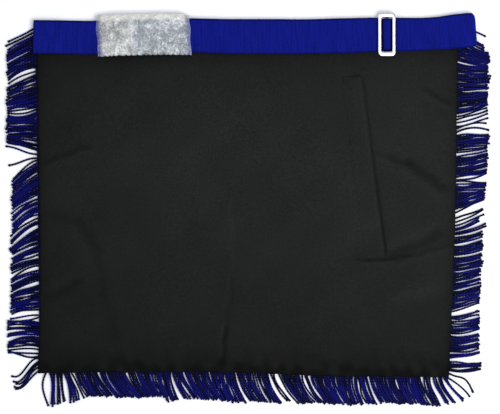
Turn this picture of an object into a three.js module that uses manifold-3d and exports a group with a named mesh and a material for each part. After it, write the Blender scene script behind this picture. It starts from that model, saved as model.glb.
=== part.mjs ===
// A fringed lodge apron laid flat on its face, seen from the back: black lining with a slanted
// welt pocket, cord fringe on three sides, and a webbing belt folded across the top edge with its
// slider and its clasp, which is still in a sleeve of bubble film.
// Millimetres, +Z up, +X to the right and +Y towards the belt. It rests on z = 0.
import * as THREE from 'three';
import { mergeVertices } from 'three/addons/utils/BufferGeometryUtils.js';
import Module from 'manifold-3d';

const wasm = await Module();
wasm.setup();

// Body
const bodyWidth = 406;
const bodyHeight = 348;
const frontThickness = 1.6;
const liningThickness = 1.0;
const gap = 0.3; // between pieces that lie on each other
const frontInset = 1.5; // the front stops this far inside the lining's edge
const puffHeight = 2.2; // how high the lining stands over its seams
const hemWidth = 12; // the stretch along an edge where the lining comes down to its seam

// Fringe
const strandLength = 32;
const headingWidth = 9; // woven tape inside the seam
const headingThickness = 1.0;
const lockThickness = 1.8; // a lock of cords lying on the table

// Belt
const beltWidth = 33.6;
const beltPinch = 0.06; // how much narrower it is drawn where it runs through a fitting
const beltThickness = 1.2;
const beltTail = 22; // the end that is sewn to the body
const beltOverhang = 16; // the right-hand fold stands this far past the body
const foldRise = 2.4; // between the two layers in a fold
const bendRadius = 1.4; // how tightly the webbing turns
const slopeReach = 4; // the belt's slope is taken over this far to either side

// Slider
const sliderEnd = 5.6; // the ends of its frame are heavier than the legs
const sliderLeg = 4.1;
const sliderThickness = 2.4;
const sliderBar = 2.0;
const sliderBarThickness = 1.8;
const sliderCorner = 4.2;
const sliderPlace = 0.84; // share of the body's width from the left
const slotClearance = 0.8;

// Clasp and its sleeve of film
const claspLength = 48;
const claspRail = 1.6;
const claspBar = 3.0;
const claspSlot = 4.6;
const claspThickness = 2.4;
const claspCorner = 2.5;
const claspTail = 12; // webbing sewn back on itself behind a clasp bar
const sleeveLength = 91;
const sleeveWall = 1.0;
const sleevePlace = 0.255; // its middle, as a share of the body's width from the left
const sleeveSpare = 2.6; // how far it stands past the clasp on the upper side
const bubblePitch = 10.5;
const bubbleScallop = 0.6;

// Pocket
const pocketOpening = 176;
const pocketSlant = 7.5; // degrees from upright
const pocketPlaceAcross = 0.8055; // middle of the welt's free edge, as shares of the body
const pocketPlaceUp = 0.587;
const weltWidth = 19;
const weltPly = 0.8; // the welt is folded double
const weltLift = 0.5; // its free edge stands open
const weltEnd = 2; // the welt runs past the opening at each end
const slitWidth = 1.6;
const bagDepth = 120;
const bagThickness = 0.8;
const bagMargin = 8;

// The outline's edges as shares of the body, from its middle: the sides going up, the ends going across.
const sideEdges = [
  { up: 0.0, left: -0.497, right: 0.487 },
  { up: 0.25, left: -0.498, right: 0.498 },
  { up: 0.5, left: -0.501, right: 0.504 },
  { up: 1.0, left: -0.508, right: 0.51 },
];
const endEdges = [
  { across: 0.0, bottom: -0.495, top: 0.49 },
  { across: 0.3, bottom: -0.491, top: 0.492 },
  { across: 0.55, bottom: -0.496, top: 0.494 },
  { across: 0.72, bottom: -0.505, top: 0.496 },
  { across: 1.0, bottom: -0.507, top: 0.498 },
];

// The belt's middle line: places along it as shares of the body's width from its middle, and how far
// it lies below the body's top as shares of the belt's width.
const beltLine = [
  { across: -0.51, down: 0.56 },
  { across: -0.37, down: 0.565 },
  { across: -0.3, down: 0.51 },
  { across: -0.19, down: 0.5 },
  { across: -0.11, down: 0.51 },
  { across: 0.13, down: 0.515 },
  { across: 0.29, down: 0.485 },
  { across: 0.39, down: 0.455 },
  { across: 0.46, down: 0.425 },
  { across: 0.55, down: 0.37 },
];

// Broad swellings of the lining. Places and radii are shares of the body, heights of the puff height.
const swells = [
  { across: 0.3, up: 0.62, wide: 0.24, tall: 0.26, height: 0.9 },
  { across: 0.62, up: 0.36, wide: 0.26, tall: 0.24, height: 0.8 },
  { across: 0.13, up: 0.3, wide: 0.1, tall: 0.13, height: 1.0 },
  { across: 0.92, up: 0.66, wide: 0.07, tall: 0.1, height: 0.9 },
  { across: 0.92, up: 0.46, wide: 0.07, tall: 0.07, height: 1.0 },
  { across: 0.38, up: 0.14, wide: 0.14, tall: 0.09, height: 0.7 },
];

// Creases pressed into the lining, from one end to the other in shares of the body. Width is a share
// of the hem width, and depth of the puff height.
const creases = [
  { fromAcross: 0.8, fromUp: 0.625, toAcross: 0.886, toUp: 0.596, width: 0.5, depth: 0.7 },
  { fromAcross: 0.886, fromUp: 0.596, toAcross: 0.985, toUp: 0.52, width: 0.6, depth: 0.9 },
  { fromAcross: 0.92, fromUp: 0.807, toAcross: 0.985, toUp: 0.765, width: 0.5, depth: 0.7 },
  { fromAcross: 0.85, fromUp: 0.345, toAcross: 0.965, toUp: 0.4, width: 0.7, depth: 0.7 },
  { fromAcross: 0.86, fromUp: 0.325, toAcross: 0.985, toUp: 0.37, width: 0.5, depth: 0.5 },
  { fromAcross: 0.015, fromUp: 0.602, toAcross: 0.125, toUp: 0.645, width: 0.6, depth: 0.7 },
  { fromAcross: 0.03, fromUp: 0.452, toAcross: 0.1, toUp: 0.43, width: 0.6, depth: 0.5 },
  { fromAcross: 0.1, fromUp: 0.43, toAcross: 0.14, toUp: 0.35, width: 0.8, depth: 0.6 },
  { fromAcross: 0.14, fromUp: 0.35, toAcross: 0.157, toUp: 0.22, width: 0.9, depth: 0.55 },
  { fromAcross: 0.157, fromUp: 0.22, toAcross: 0.19, toUp: 0.1, width: 0.9, depth: 0.6 },
  { fromAcross: 0.01, fromUp: 0.215, toAcross: 0.1, toUp: 0.26, width: 0.7, depth: 0.65 },
  { fromAcross: 0.467, fromUp: 0.27, toAcross: 0.445, toUp: 0.01, width: 0.5, depth: 0.7 },
];

// Locks of the fringe. From and to are shares along the edge: down the sides, and left to right along
// the bottom. The leans say how far the tips drift the same way, and long how long the cords are, as
// shares of the strand length.
const leftLocks = [
  { from: 0.028, to: 0.136, leanFrom: 0.42, leanTo: 0.36, long: 1.0 },
  { from: 0.143, to: 0.175, leanFrom: 0.36, leanTo: 0.36, long: 0.98 },
  { from: 0.179, to: 0.245, leanFrom: 0.36, leanTo: 0.27, long: 0.97 },
  { from: 0.25, to: 0.26, leanFrom: 0.24, leanTo: 0.22, long: 0.95 },
  { from: 0.266, to: 0.288, leanFrom: 0.15, leanTo: 0.1, long: 0.95 },
  { from: 0.293, to: 0.339, leanFrom: 0.03, leanTo: -0.06, long: 0.94 },
  { from: 0.344, to: 0.365, leanFrom: -0.12, leanTo: -0.18, long: 0.97 },
  { from: 0.372, to: 0.381, leanFrom: -0.21, leanTo: -0.21, long: 0.98 },
  { from: 0.389, to: 0.395, leanFrom: 0.22, leanTo: 0.22, long: 0.95 },
  { from: 0.399, to: 0.41, leanFrom: 0.55, leanTo: 0.5, long: 0.98 },
  { from: 0.415, to: 0.498, leanFrom: 0.48, leanTo: 0.33, long: 0.92 },
  { from: 0.504, to: 0.545, leanFrom: 0.3, leanTo: 0.36, long: 0.92 },
  { from: 0.549, to: 0.582, leanFrom: 0.36, leanTo: 0.42, long: 0.93 },
  { from: 0.587, to: 0.655, leanFrom: 0.42, leanTo: 0.24, long: 0.92 },
  { from: 0.661, to: 0.694, leanFrom: 0.42, leanTo: 0.27, long: 0.94 },
  { from: 0.702, to: 0.735, leanFrom: 0.3, leanTo: 0.27, long: 0.92 },
  { from: 0.742, to: 0.763, leanFrom: 0.27, leanTo: 0.18, long: 0.91 },
  { from: 0.769, to: 0.822, leanFrom: 0.27, leanTo: 0.15, long: 0.94 },
  { from: 0.828, to: 0.845, leanFrom: 0.12, leanTo: 0.06, long: 0.95 },
  { from: 0.85, to: 0.896, leanFrom: 0.12, leanTo: -0.12, long: 1.04 },
  { from: 0.901, to: 0.946, leanFrom: 0.15, leanTo: -0.1, long: 1.05 },
  { from: 0.953, to: 0.969, leanFrom: 0.55, leanTo: 0.55, long: 1.0 },
  { from: 0.974, to: 0.992, leanFrom: 0.57, leanTo: 0.55, long: 1.0 },
];
const bottomLocks = [
  { from: 0.014, to: 0.02, leanFrom: 0.02, leanTo: 0.04, long: 1.02 },
  { from: 0.024, to: 0.046, leanFrom: 0.09, leanTo: -0.03, long: 1.0 },
  { from: 0.051, to: 0.058, leanFrom: 0.18, leanTo: 0.18, long: 0.95 },
  { from: 0.063, to: 0.079, leanFrom: 0.24, leanTo: 0.3, long: 0.94 },
  { from: 0.084, to: 0.128, leanFrom: 0.33, leanTo: 0.46, long: 0.86 },
  { from: 0.133, to: 0.143, leanFrom: 0.42, leanTo: 0.44, long: 0.88 },
  { from: 0.147, to: 0.18, leanFrom: 0.42, leanTo: 0.52, long: 0.88 },
  { from: 0.185, to: 0.215, leanFrom: 0.42, leanTo: 0.38, long: 0.88 },
  { from: 0.219, to: 0.301, leanFrom: 0.36, leanTo: 0.42, long: 0.92 },
  { from: 0.307, to: 0.349, leanFrom: 0.36, leanTo: 0.6, long: 0.98 },
  { from: 0.355, to: 0.368, leanFrom: 0.62, leanTo: 0.66, long: 1.06 },
  { from: 0.372, to: 0.429, leanFrom: 0.66, leanTo: 0.52, long: 1.04 },
  { from: 0.435, to: 0.476, leanFrom: 0.5, leanTo: 0.36, long: 1.0 },
  { from: 0.48, to: 0.498, leanFrom: 0.36, leanTo: 0.42, long: 0.98 },
  { from: 0.502, to: 0.576, leanFrom: 0.46, leanTo: 0.52, long: 0.96 },
  { from: 0.582, to: 0.64, leanFrom: 0.54, leanTo: 0.48, long: 0.94 },
  { from: 0.645, to: 0.66, leanFrom: 0.48, leanTo: 0.52, long: 0.92 },
  { from: 0.665, to: 0.751, leanFrom: 0.52, leanTo: 0.42, long: 0.9 },
  { from: 0.755, to: 0.804, leanFrom: 0.36, leanTo: 0.3, long: 0.86 },
  { from: 0.809, to: 0.905, leanFrom: 0.3, leanTo: 0.42, long: 0.86 },
  { from: 0.909, to: 0.934, leanFrom: 0.36, leanTo: 0.36, long: 0.88 },
  { from: 0.939, to: 0.963, leanFrom: 0.34, leanTo: 0.2, long: 0.94 },
  { from: 0.967, to: 0.98, leanFrom: 0.38, leanTo: 0.42, long: 0.88 },
  { from: 0.984, to: 0.995, leanFrom: 0.5, leanTo: 0.55, long: 0.86 },
];
const rightLocks = [
  { from: 0.015, to: 0.024, leanFrom: 0.3, leanTo: 0.3, long: 0.92 },
  { from: 0.035, to: 0.046, leanFrom: 0.36, leanTo: 0.34, long: 0.86 },
  { from: 0.063, to: 0.077, leanFrom: 0.3, leanTo: 0.27, long: 0.98 },
  { from: 0.083, to: 0.122, leanFrom: 0.27, leanTo: 0.12, long: 1.02 },
  { from: 0.129, to: 0.155, leanFrom: 0.12, leanTo: 0.0, long: 1.0 },
  { from: 0.161, to: 0.262, leanFrom: -0.03, leanTo: -0.18, long: 0.95 },
  { from: 0.267, to: 0.276, leanFrom: -0.24, leanTo: -0.24, long: 0.96 },
  { from: 0.281, to: 0.315, leanFrom: -0.12, leanTo: -0.06, long: 0.95 },
  { from: 0.322, to: 0.378, leanFrom: -0.06, leanTo: -0.12, long: 0.96 },
  { from: 0.385, to: 0.437, leanFrom: -0.12, leanTo: -0.18, long: 0.97 },
  { from: 0.443, to: 0.517, leanFrom: 0.0, leanTo: -0.27, long: 0.95 },
  { from: 0.523, to: 0.549, leanFrom: -0.3, leanTo: -0.36, long: 0.95 },
  { from: 0.556, to: 0.57, leanFrom: -0.3, leanTo: -0.27, long: 0.95 },
  { from: 0.576, to: 0.62, leanFrom: -0.24, leanTo: -0.3, long: 0.9 },
  { from: 0.627, to: 0.724, leanFrom: -0.3, leanTo: -0.21, long: 0.88 },
  { from: 0.73, to: 0.808, leanFrom: -0.18, leanTo: -0.27, long: 0.9 },
  { from: 0.814, to: 0.835, leanFrom: -0.24, leanTo: -0.15, long: 0.9 },
  { from: 0.842, to: 0.9, leanFrom: -0.12, leanTo: -0.09, long: 0.92 },
  { from: 0.906, to: 0.938, leanFrom: -0.06, leanTo: -0.06, long: 0.94 },
  { from: 0.943, to: 0.952, leanFrom: -0.09, leanTo: -0.09, long: 0.96 },
  { from: 0.958, to: 0.984, leanFrom: -0.06, leanTo: -0.03, long: 0.99 },
  { from: 0.99, to: 0.996, leanFrom: 0.55, leanTo: 0.55, long: 0.95 },
];

// The path of a lock from its heading to its tips: out and drift as shares of its reach and lean,
// lift as a share of the way up from the table to the heading.
const lockPath = [
  { out: 0.03, drift: 0.0, lift: 1.0 },
  { out: 0.22, drift: 0.12, lift: 0.35 },
  { out: 0.55, drift: 0.45, lift: 0.0 },
  { out: 1.0, drift: 1.0, lift: 0.0 },
];

// Heights that follow from the stack of cloth
const headingBase = frontThickness + gap;
const headingTop = headingBase + headingThickness;
const liningSeat = headingTop + gap; // underside of the lining along its seams
const liningTop = liningSeat + liningThickness;
const beltLayer = (n) => liningTop + gap + beltThickness / 2 + n * (beltThickness + gap);

const lerp = THREE.MathUtils.lerp;
const smoothstep = THREE.MathUtils.smoothstep;

// The value of one column of a table between its rows.
function read(rows, key, at, column) {
  const next = rows.findIndex((row) => row[key] >= at);
  if (next <= 0) return rows[next < 0 ? rows.length - 1 : 0][column];
  const a = rows[next - 1];
  const b = rows[next];
  return lerp(a[column], b[column], (at - a[key]) / (b[key] - a[key]));
}

// A point of the body's outline plane, with across and up from 0 to 1.
function bodyPoint(across, up) {
  const left = read(sideEdges, 'up', up, 'left');
  const right = read(sideEdges, 'up', up, 'right');
  const bottom = read(endEdges, 'across', across, 'bottom');
  const top = read(endEdges, 'across', across, 'top');
  return new THREE.Vector2(lerp(left, right, across) * bodyWidth, lerp(bottom, top, up) * bodyHeight);
}

// How far a place is from a crease's middle line, and how much of the crease is there.
function creaseAt(crease, x, y) {
  const ax = crease.fromAcross * bodyWidth;
  const ay = crease.fromUp * bodyHeight;
  const dx = crease.toAcross * bodyWidth - ax;
  const dy = crease.toUp * bodyHeight - ay;
  const length = Math.hypot(dx, dy);
  const along = ((x - ax) * dx + (y - ay) * dy) / length;
  const off = ((x - ax) * dy - (y - ay) * dx) / length;
  const width = crease.width * hemWidth;
  const ends = smoothstep(along, -width, width) * (1 - smoothstep(along, length - width, length + width));
  return ends * crease.depth * Math.exp(-((off / width) ** 2));
}

const beltLower = 1 - (1.12 * beltWidth) / bodyHeight; // share of the height where the belt's zone starts
const flatZone = 0.05; // above this share below the belt the lining is pressed flat

// How high the lining's underside stands over its seat.
function relief(across, up) {
  const x = across * bodyWidth;
  const y = up * bodyHeight;
  const edge = Math.min(x, bodyWidth - x, y);
  const rise = smoothstep(edge, 0, hemWidth) * (1 - smoothstep(up, beltLower - 2 * flatZone, beltLower - flatZone));
  let height = 0.35;
  for (const s of swells) {
    height += s.height * Math.exp(-(((across - s.across) / s.wide) ** 2) - ((up - s.up) / s.tall) ** 2);
  }
  for (const c of creases) height -= creaseAt(c, x, y);
  return Math.max(height, 0) * rise * puffHeight;
}

// A closed solid from two faces, given as grids of points, and the rim between them.
function closedSheet(top, bottom) {
  const nu = top.length;
  const nv = top[0].length;
  const points = [...top.flat(), ...bottom.flat()];
  const faces = [];
  const quad = (a, b, c, d) => faces.push(a, b, c, a, c, d);
  const id = (i, j, below) => (below ? nu * nv : 0) + i * nv + j;
  for (let i = 0; i < nu - 1; i++) {
    for (let j = 0; j < nv - 1; j++) {
      quad(id(i, j), id(i + 1, j), id(i + 1, j + 1), id(i, j + 1));
      quad(id(i, j, true), id(i, j + 1, true), id(i + 1, j + 1, true), id(i + 1, j, true));
    }
  }
  for (let i = 0; i < nu - 1; i++) {
    quad(id(i, 0, true), id(i + 1, 0, true), id(i + 1, 0), id(i, 0));
    quad(id(i + 1, nv - 1, true), id(i, nv - 1, true), id(i, nv - 1), id(i + 1, nv - 1));
  }
  for (let j = 0; j < nv - 1; j++) {
    quad(id(0, j + 1, true), id(0, j, true), id(0, j), id(0, j + 1));
    quad(id(nu - 1, j, true), id(nu - 1, j + 1, true), id(nu - 1, j + 1), id(nu - 1, j));
  }
  return fromFaces(points, faces);
}

// A closed solid through rings of points, with flat ends. Rings turn left as seen from the far end.
function lofted(rings) {
  const n = rings[0].length;
  const faces = [];
  for (let r = 0; r < rings.length - 1; r++) {
    for (let k = 0; k < n; k++) {
      const a = r * n + k;
      const b = r * n + ((k + 1) % n);
      faces.push(a, b, b + n, a, b + n, a + n);
    }
  }
  const last = (rings.length - 1) * n;
  for (let k = 1; k < n - 1; k++) {
    faces.push(0, k + 1, k);
    faces.push(last, last + k, last + k + 1);
  }
  return fromFaces(rings.flat(), faces);
}

// A closed solid between two lofted skins, open from end to end.
function loftedTube(outer, inner) {
  const n = outer[0].length;
  const rows = outer.length;
  const faces = [];
  const quad = (a, b, c, d) => faces.push(a, b, c, a, c, d);
  for (let k = 0; k < n; k++) {
    const m = (k + 1) % n;
    for (let r = 0; r < rows - 1; r++) {
      quad(r * n + k, r * n + m, (r + 1) * n + m, (r + 1) * n + k);
      const base = rows * n;
      quad(base + r * n + m, base + r * n + k, base + (r + 1) * n + k, base + (r + 1) * n + m);
    }
    const near = rows * n;
    const far = (rows - 1) * n;
    quad(m, k, near + k, near + m);
    quad(far + k, far + m, near + far + m, near + far + k);
  }
  return fromFaces([...outer.flat(), ...inner.flat()], faces);
}

function fromFaces(points, faces) {
  const geometry = new THREE.BufferGeometry().setFromPoints(points);
  geometry.setIndex(faces);
  return geometry;
}

// Between a three.js geometry and a solid that can be joined and cut.
function toSolid(geometry) {
  const bare = new THREE.BufferGeometry().setAttribute('position', geometry.getAttribute('position'));
  bare.setIndex(geometry.index);
  const merged = mergeVertices(bare, 1e-3);
  return new wasm.Manifold(
    new wasm.Mesh({
      numProp: 3,
      vertProperties: new Float32Array(merged.getAttribute('position').array),
      triVerts: new Uint32Array(merged.index.array),
    }),
  );
}

function toGeometry(solid) {
  const mesh = solid.getMesh();
  const geometry = new THREE.BufferGeometry();
  geometry.setAttribute('position', new THREE.BufferAttribute(mesh.vertProperties, mesh.numProp));
  geometry.setIndex(new THREE.BufferAttribute(mesh.triVerts, 1));
  return geometry;
}

function named(name, geometry, material) {
  geometry.computeVertexNormals();
  const mesh = new THREE.Mesh(geometry, material);
  mesh.name = name;
  return mesh;
}

// A flat plate with the given outline, from one height to another.
function plate(outline, base, thickness) {
  const geometry = new THREE.ExtrudeGeometry(new THREE.Shape(outline), { depth: thickness, bevelEnabled: false });
  return geometry.translate(0, 0, base);
}

function steps(count) {
  return Array.from({ length: count + 1 }, (_, i) => i / count);
}

// Places across or up the lining: close together where it creases near the edges.
function gridShares(parts) {
  const shares = [0];
  for (const part of parts) {
    const from = shares.at(-1);
    for (let i = 1; i <= part.count; i++) shares.push(lerp(from, part.to, i / part.count));
  }
  return shares;
}

// The outline of the body, drawn in from its edges by an inset.
function bodyOutline(inset) {
  const dx = inset / bodyWidth;
  const dy = inset / bodyHeight;
  const share = (s, d) => lerp(d, 1 - d, s);
  const bottom = steps(8).map((s) => bodyPoint(share(s, dx), dy));
  const right = steps(6).map((s) => bodyPoint(1 - dx, share(s, dy)));
  const top = steps(4).map((s) => bodyPoint(1 - share(s, dx), 1 - dy));
  const left = steps(6).map((s) => bodyPoint(dx, 1 - share(s, dy)));
  return [bottom, right, top, left].flatMap((side) => side.slice(0, -1));
}

function frontPanel() {
  return plate(bodyOutline(frontInset), 0, frontThickness);
}

// The pocket's own frame: its middle, the way along the opening and the way across it.
const slant = THREE.MathUtils.degToRad(pocketSlant);
const pocketMiddle = bodyPoint(pocketPlaceAcross, pocketPlaceUp);
const pocketDown = new THREE.Vector2(Math.sin(slant), -Math.cos(slant));
const pocketRight = new THREE.Vector2(Math.cos(slant), Math.sin(slant));
const pocketPoint = (along, right) =>
  pocketMiddle.clone().addScaledVector(pocketDown, along).addScaledVector(pocketRight, right);

// The lining's upper face over a point of the plane.
function liningHeight(point) {
  let across = 0.5;
  let up = 0.5;
  for (let pass = 0; pass < 4; pass++) {
    const here = bodyPoint(across, up);
    across += (point.x - here.x) / bodyWidth;
    up += (point.y - here.y) / bodyHeight;
  }
  return liningTop + relief(across, up);
}

function lining() {
  const hem = (hemWidth / 2) / bodyWidth;
  const columns = gridShares([
    { to: hem, count: 2 },
    { to: 0.2, count: 8 },
    { to: 0.78, count: 9 },
    { to: 1 - hem, count: 9 },
    { to: 1, count: 2 },
  ]);
  const lift = (hemWidth / 2) / bodyHeight;
  const rows = gridShares([
    { to: lift, count: 2 },
    { to: beltLower, count: 21 },
    { to: 1, count: 1 },
  ]);
  const face = (extra) =>
    columns.map((across) =>
      rows.map((up) => {
        const p = bodyPoint(across, up);
        return new THREE.Vector3(p.x, p.y, liningSeat + relief(across, up) + extra);
      }),
    );
  const sheet = toSolid(closedSheet(face(liningThickness), face(0)));
  const slitMiddle = -weltWidth / 2;
  const corners = [
    pocketPoint(-pocketOpening / 2, slitMiddle - slitWidth / 2),
    pocketPoint(pocketOpening / 2, slitMiddle - slitWidth / 2),
    pocketPoint(pocketOpening / 2, slitMiddle + slitWidth / 2),
    pocketPoint(-pocketOpening / 2, slitMiddle + slitWidth / 2),
  ];
  const slit = toSolid(plate(corners, 0, 2 * liningTop + 2 * puffHeight));
  return toGeometry(sheet.subtract(slit));
}

// A strip folded double, lying on the lining over the slit, with its free edge to the right.
function pocketWelt() {
  const face = (height) =>
    steps(4).map((s) =>
      steps(14).map((t) => {
        const p = pocketPoint(lerp(1, -1, t) * (pocketOpening / 2 + weltEnd), lerp(-weltWidth, 0, s));
        const open = weltLift * s ** 4;
        return new THREE.Vector3(p.x, p.y, liningHeight(p) + gap + open + height);
      }),
    );
  return closedSheet(face(2 * weltPly), face(0));
}

function pocketBag() {
  const far = -weltWidth / 2 - bagDepth;
  const near = 0;
  const half = pocketOpening / 2 + bagMargin;
  const corners = [pocketPoint(half, far), pocketPoint(half, near), pocketPoint(-half, near), pocketPoint(-half, far)];
  return plate(corners, headingBase, bagThickness);
}

// The three edges that carry fringe: a point along each, and the way out of it.
const fringeEdges = {
  left: { at: (s) => bodyPoint(0, 1 - s), inside: (s, d) => bodyPoint(d / bodyWidth, 1 - s), length: bodyHeight },
  bottom: {
    at: (s) => bodyPoint(s, 0),
    inside: (s, d) => bodyPoint(s, d / bodyHeight),
    length: bodyWidth,
    cornered: true, // it has a corner at its start too
  },
  right: { at: (s) => bodyPoint(1, 1 - s), inside: (s, d) => bodyPoint(1 - d / bodyWidth, 1 - s), length: bodyHeight },
};

// The woven heading that is sewn in along an edge, with its ends mitred at the body's corners.
function heading(edge, startMitred, endMitred, start) {
  const cut = (headingWidth + gap) / edge.length;
  const miss = gap / edge.length;
  const outer = steps(8).map((s) => edge.at(lerp(startMitred ? miss : start, endMitred ? 1 - miss : 1, s)));
  const inner = steps(8).map((s) =>
    edge.inside(lerp(startMitred ? cut : start, endMitred ? 1 - cut : 1, s), headingWidth),
  );
  const outline = [...outer, ...inner.reverse()];
  if (THREE.ShapeUtils.area(outline) < 0) outline.reverse();
  return toSolid(plate(outline, headingBase, headingThickness));
}

// One lock: a flat bundle of cords that leaves the heading, comes down to the table and fans out.
function lock(edge, row) {
  const rootInset = headingWidth / 6;
  const spare = (rootInset + gap) / edge.length; // kept clear at the body's lower corners
  const side = (at, lean) => {
    const share = lerp(edge.cornered ? spare : 0, 1 - spare, at);
    const root = edge.at(share);
    const ahead = edge.at(share + 0.001).sub(edge.at(share - 0.001)).normalize();
    const out = root.clone().sub(edge.inside(share, 1)).normalize();
    const reach = row.long * strandLength * Math.sqrt(1 - lean * lean);
    const drift = row.long * strandLength * lean;
    const inner = root.clone().addScaledVector(out, -rootInset);
    return [
      { p: inner, lift: 1 },
      ...lockPath.map((step) => ({
        p: root.clone().addScaledVector(out, reach * step.out).addScaledVector(ahead, drift * step.drift),
        lift: step.lift,
      })),
    ];
  };
  const a = side(row.from, row.leanFrom);
  const b = side(row.to, row.leanTo);
  const rings = a.map((start, i) => {
    const end = b[i];
    const base = lerp(0, headingBase + headingThickness / 6, start.lift);
    const high = lerp(lockThickness, headingTop - headingThickness / 6, start.lift);
    const middle = (base + high) / 2;
    const bevel = Math.min(0.25, 0.5 / start.p.distanceTo(end.p));
    const near = start.p.clone().lerp(end.p, bevel);
    const far = start.p.clone().lerp(end.p, 1 - bevel);
    return [
      new THREE.Vector3(start.p.x, start.p.y, middle),
      new THREE.Vector3(near.x, near.y, base),
      new THREE.Vector3(far.x, far.y, base),
      new THREE.Vector3(end.p.x, end.p.y, middle),
      new THREE.Vector3(far.x, far.y, high),
      new THREE.Vector3(near.x, near.y, high),
    ];
  });
  const solid = lofted(rings);
  return toSolid(isInsideOut(solid) ? flipped(solid) : solid);
}

function isInsideOut(geometry) {
  const p = geometry.getAttribute('position');
  const index = geometry.index.array;
  const [a, b, c] = [new THREE.Vector3(), new THREE.Vector3(), new THREE.Vector3()];
  let volume = 0;
  for (let i = 0; i < index.length; i += 3) {
    a.fromBufferAttribute(p, index[i]);
    b.fromBufferAttribute(p, index[i + 1]);
    c.fromBufferAttribute(p, index[i + 2]);
    volume += a.dot(b.cross(c));
  }
  return volume < 0;
}

function flipped(geometry) {
  const index = geometry.index.array;
  for (let i = 0; i < index.length; i += 3) [index[i], index[i + 1]] = [index[i + 1], index[i]];
  return geometry;
}

function fringe(edge, rows, head) {
  return toGeometry(rows.reduce((whole, row) => whole.add(lock(edge, row)), head));
}

// Rounds the corners of a side view of the webbing.
function rounded(corners, radius = bendRadius, cuts = 3) {
  const path = [new THREE.Vector2(...corners[0])];
  for (let i = 1; i < corners.length - 1; i++) {
    const [before, here, after] = [corners[i - 1], corners[i], corners[i + 1]].map((c) => new THREE.Vector2(...c));
    const back = before.clone().sub(here);
    const on = after.clone().sub(here);
    const start = here.clone().addScaledVector(back.clone().normalize(), Math.min(radius, back.length() / 2.02));
    const end = here.clone().addScaledVector(on.clone().normalize(), Math.min(radius, on.length() / 2.02));
    path.push(...new THREE.QuadraticBezierCurve(start, here, end).getPoints(cuts));
  }
  path.push(new THREE.Vector2(...corners.at(-1)));
  return path;
}

// The belt's middle line over a place across the body.
function beltMiddle(x) {
  return bodyHeight / 2 - read(beltLine, 'across', x / bodyWidth, 'down') * beltWidth;
}

// Half the width of the webbing, which is drawn in through the clasp and the slider.
function beltHalf(x) {
  const share = (middle, reach) => 1 - smoothstep(Math.abs(x - middle), reach, reach + ease);
  const drawn = Math.max(share(claspMiddle, claspLength / 2), share(sliderMiddle, sliderWidth / 2));
  return (beltWidth / 2) * (1 - beltPinch * drawn);
}

function beltSlope(x) {
  return (beltMiddle(x + slopeReach) - beltMiddle(x - slopeReach)) / (2 * slopeReach);
}

// Places a fitting on the belt's line and turns it the belt's way.
function onBelt(fitting, x, z) {
  fitting.position.set(x, beltMiddle(x), z);
  fitting.rotation.z = Math.atan(beltSlope(x));
  return fitting;
}

// Webbing that follows a side view of x and z, and the belt's line in y.
function webbing(corners) {
  const path = rounded(corners);
  const rings = path.map((p, i) => {
    const before = path[Math.max(i - 1, 0)];
    const after = path[Math.min(i + 1, path.length - 1)];
    const ahead = after.clone().sub(before).normalize();
    const normal = new THREE.Vector2(-ahead.y, ahead.x).multiplyScalar(beltThickness / 2);
    const across = new THREE.Vector2(-beltSlope(p.x), 1).normalize().multiplyScalar(beltHalf(p.x));
    const corner = (side, face) =>
      new THREE.Vector3(
        p.x + side * across.x + face * normal.x,
        beltMiddle(p.x) + side * across.y,
        p.y + face * normal.y,
      );
    return [corner(-1, -1), corner(1, -1), corner(1, 1), corner(-1, 1)];
  });
  const solid = lofted(rings);
  return isInsideOut(solid) ? flipped(solid) : solid;
}

// Places along the belt and heights where it passes through the clasp and the slider
const leftFold = -0.51 * bodyWidth;
const rightFold = 0.51 * bodyWidth + beltOverhang;
const sleeveMiddle = (sleevePlace - 0.5) * bodyWidth;
const sleeveLeft = sleeveMiddle - sleeveLength / 2;
const sleeveRight = sleeveMiddle + sleeveLength / 2;
const sleeveFloor = liningTop + gap + sleeveWall;
const underClasp = sleeveFloor + 1.6 * gap + beltThickness / 2;
const claspBase = underClasp + beltThickness / 2 + gap;
const claspTop = claspBase + claspThickness;
const overClasp = claspTop + gap + beltThickness / 2;
const claspMiddle = sleeveMiddle + sleeveLength / 10;
const claspLeftSlot = claspMiddle - claspLength / 2 + claspBar + claspSlot / 2;
const claspRightSlot = claspMiddle + claspLength / 2 - claspBar - claspSlot / 2;
const sliderMiddle = (sliderPlace - 0.5) * bodyWidth;
const sliderBase = beltLayer(1) + beltThickness / 2 + gap;
const loopSide = sliderBar / 2 + gap + beltThickness / 2; // the sewn loop round the slider's bar
const humpSide = loopSide + beltThickness + gap; // the running webbing over that loop
const sliderOpening = 2 * (humpSide + beltThickness / 2 + slotClearance);
const sliderWidth = sliderOpening + 2 * sliderLeg;
const slotLength = beltWidth * (1 - beltPinch) + slotClearance; // of the slots in both fittings
const barTop = liningTop + 2 * gap + beltThickness + gap + sliderBarThickness;
const loopTop = barTop + gap + beltThickness / 2;
const humpTop = loopTop + gap + beltThickness;
const ease = 14; // how far the webbing takes to come down a layer

// From the left corner to the clasp's left bar.
function beltLeft() {
  return webbing([
    [leftFold + beltTail, beltLayer(0)],
    [leftFold + beltThickness / 2, beltLayer(0)],
    [leftFold + beltThickness / 2, beltLayer(0) + foldRise],
    [leftFold + beltTail, beltLayer(1)],
    [leftFold + beltTail + ease, beltLayer(0)],
    [sleeveLeft - ease, beltLayer(0)],
    [sleeveLeft, underClasp],
    [claspLeftSlot - claspBar - claspTail, underClasp + beltThickness + gap],
    [claspLeftSlot - claspBar - claspSlot, overClasp],
    [claspLeftSlot, overClasp],
    [claspLeftSlot, underClasp],
    [claspLeftSlot - claspTail, underClasp],
  ]);
}

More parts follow.
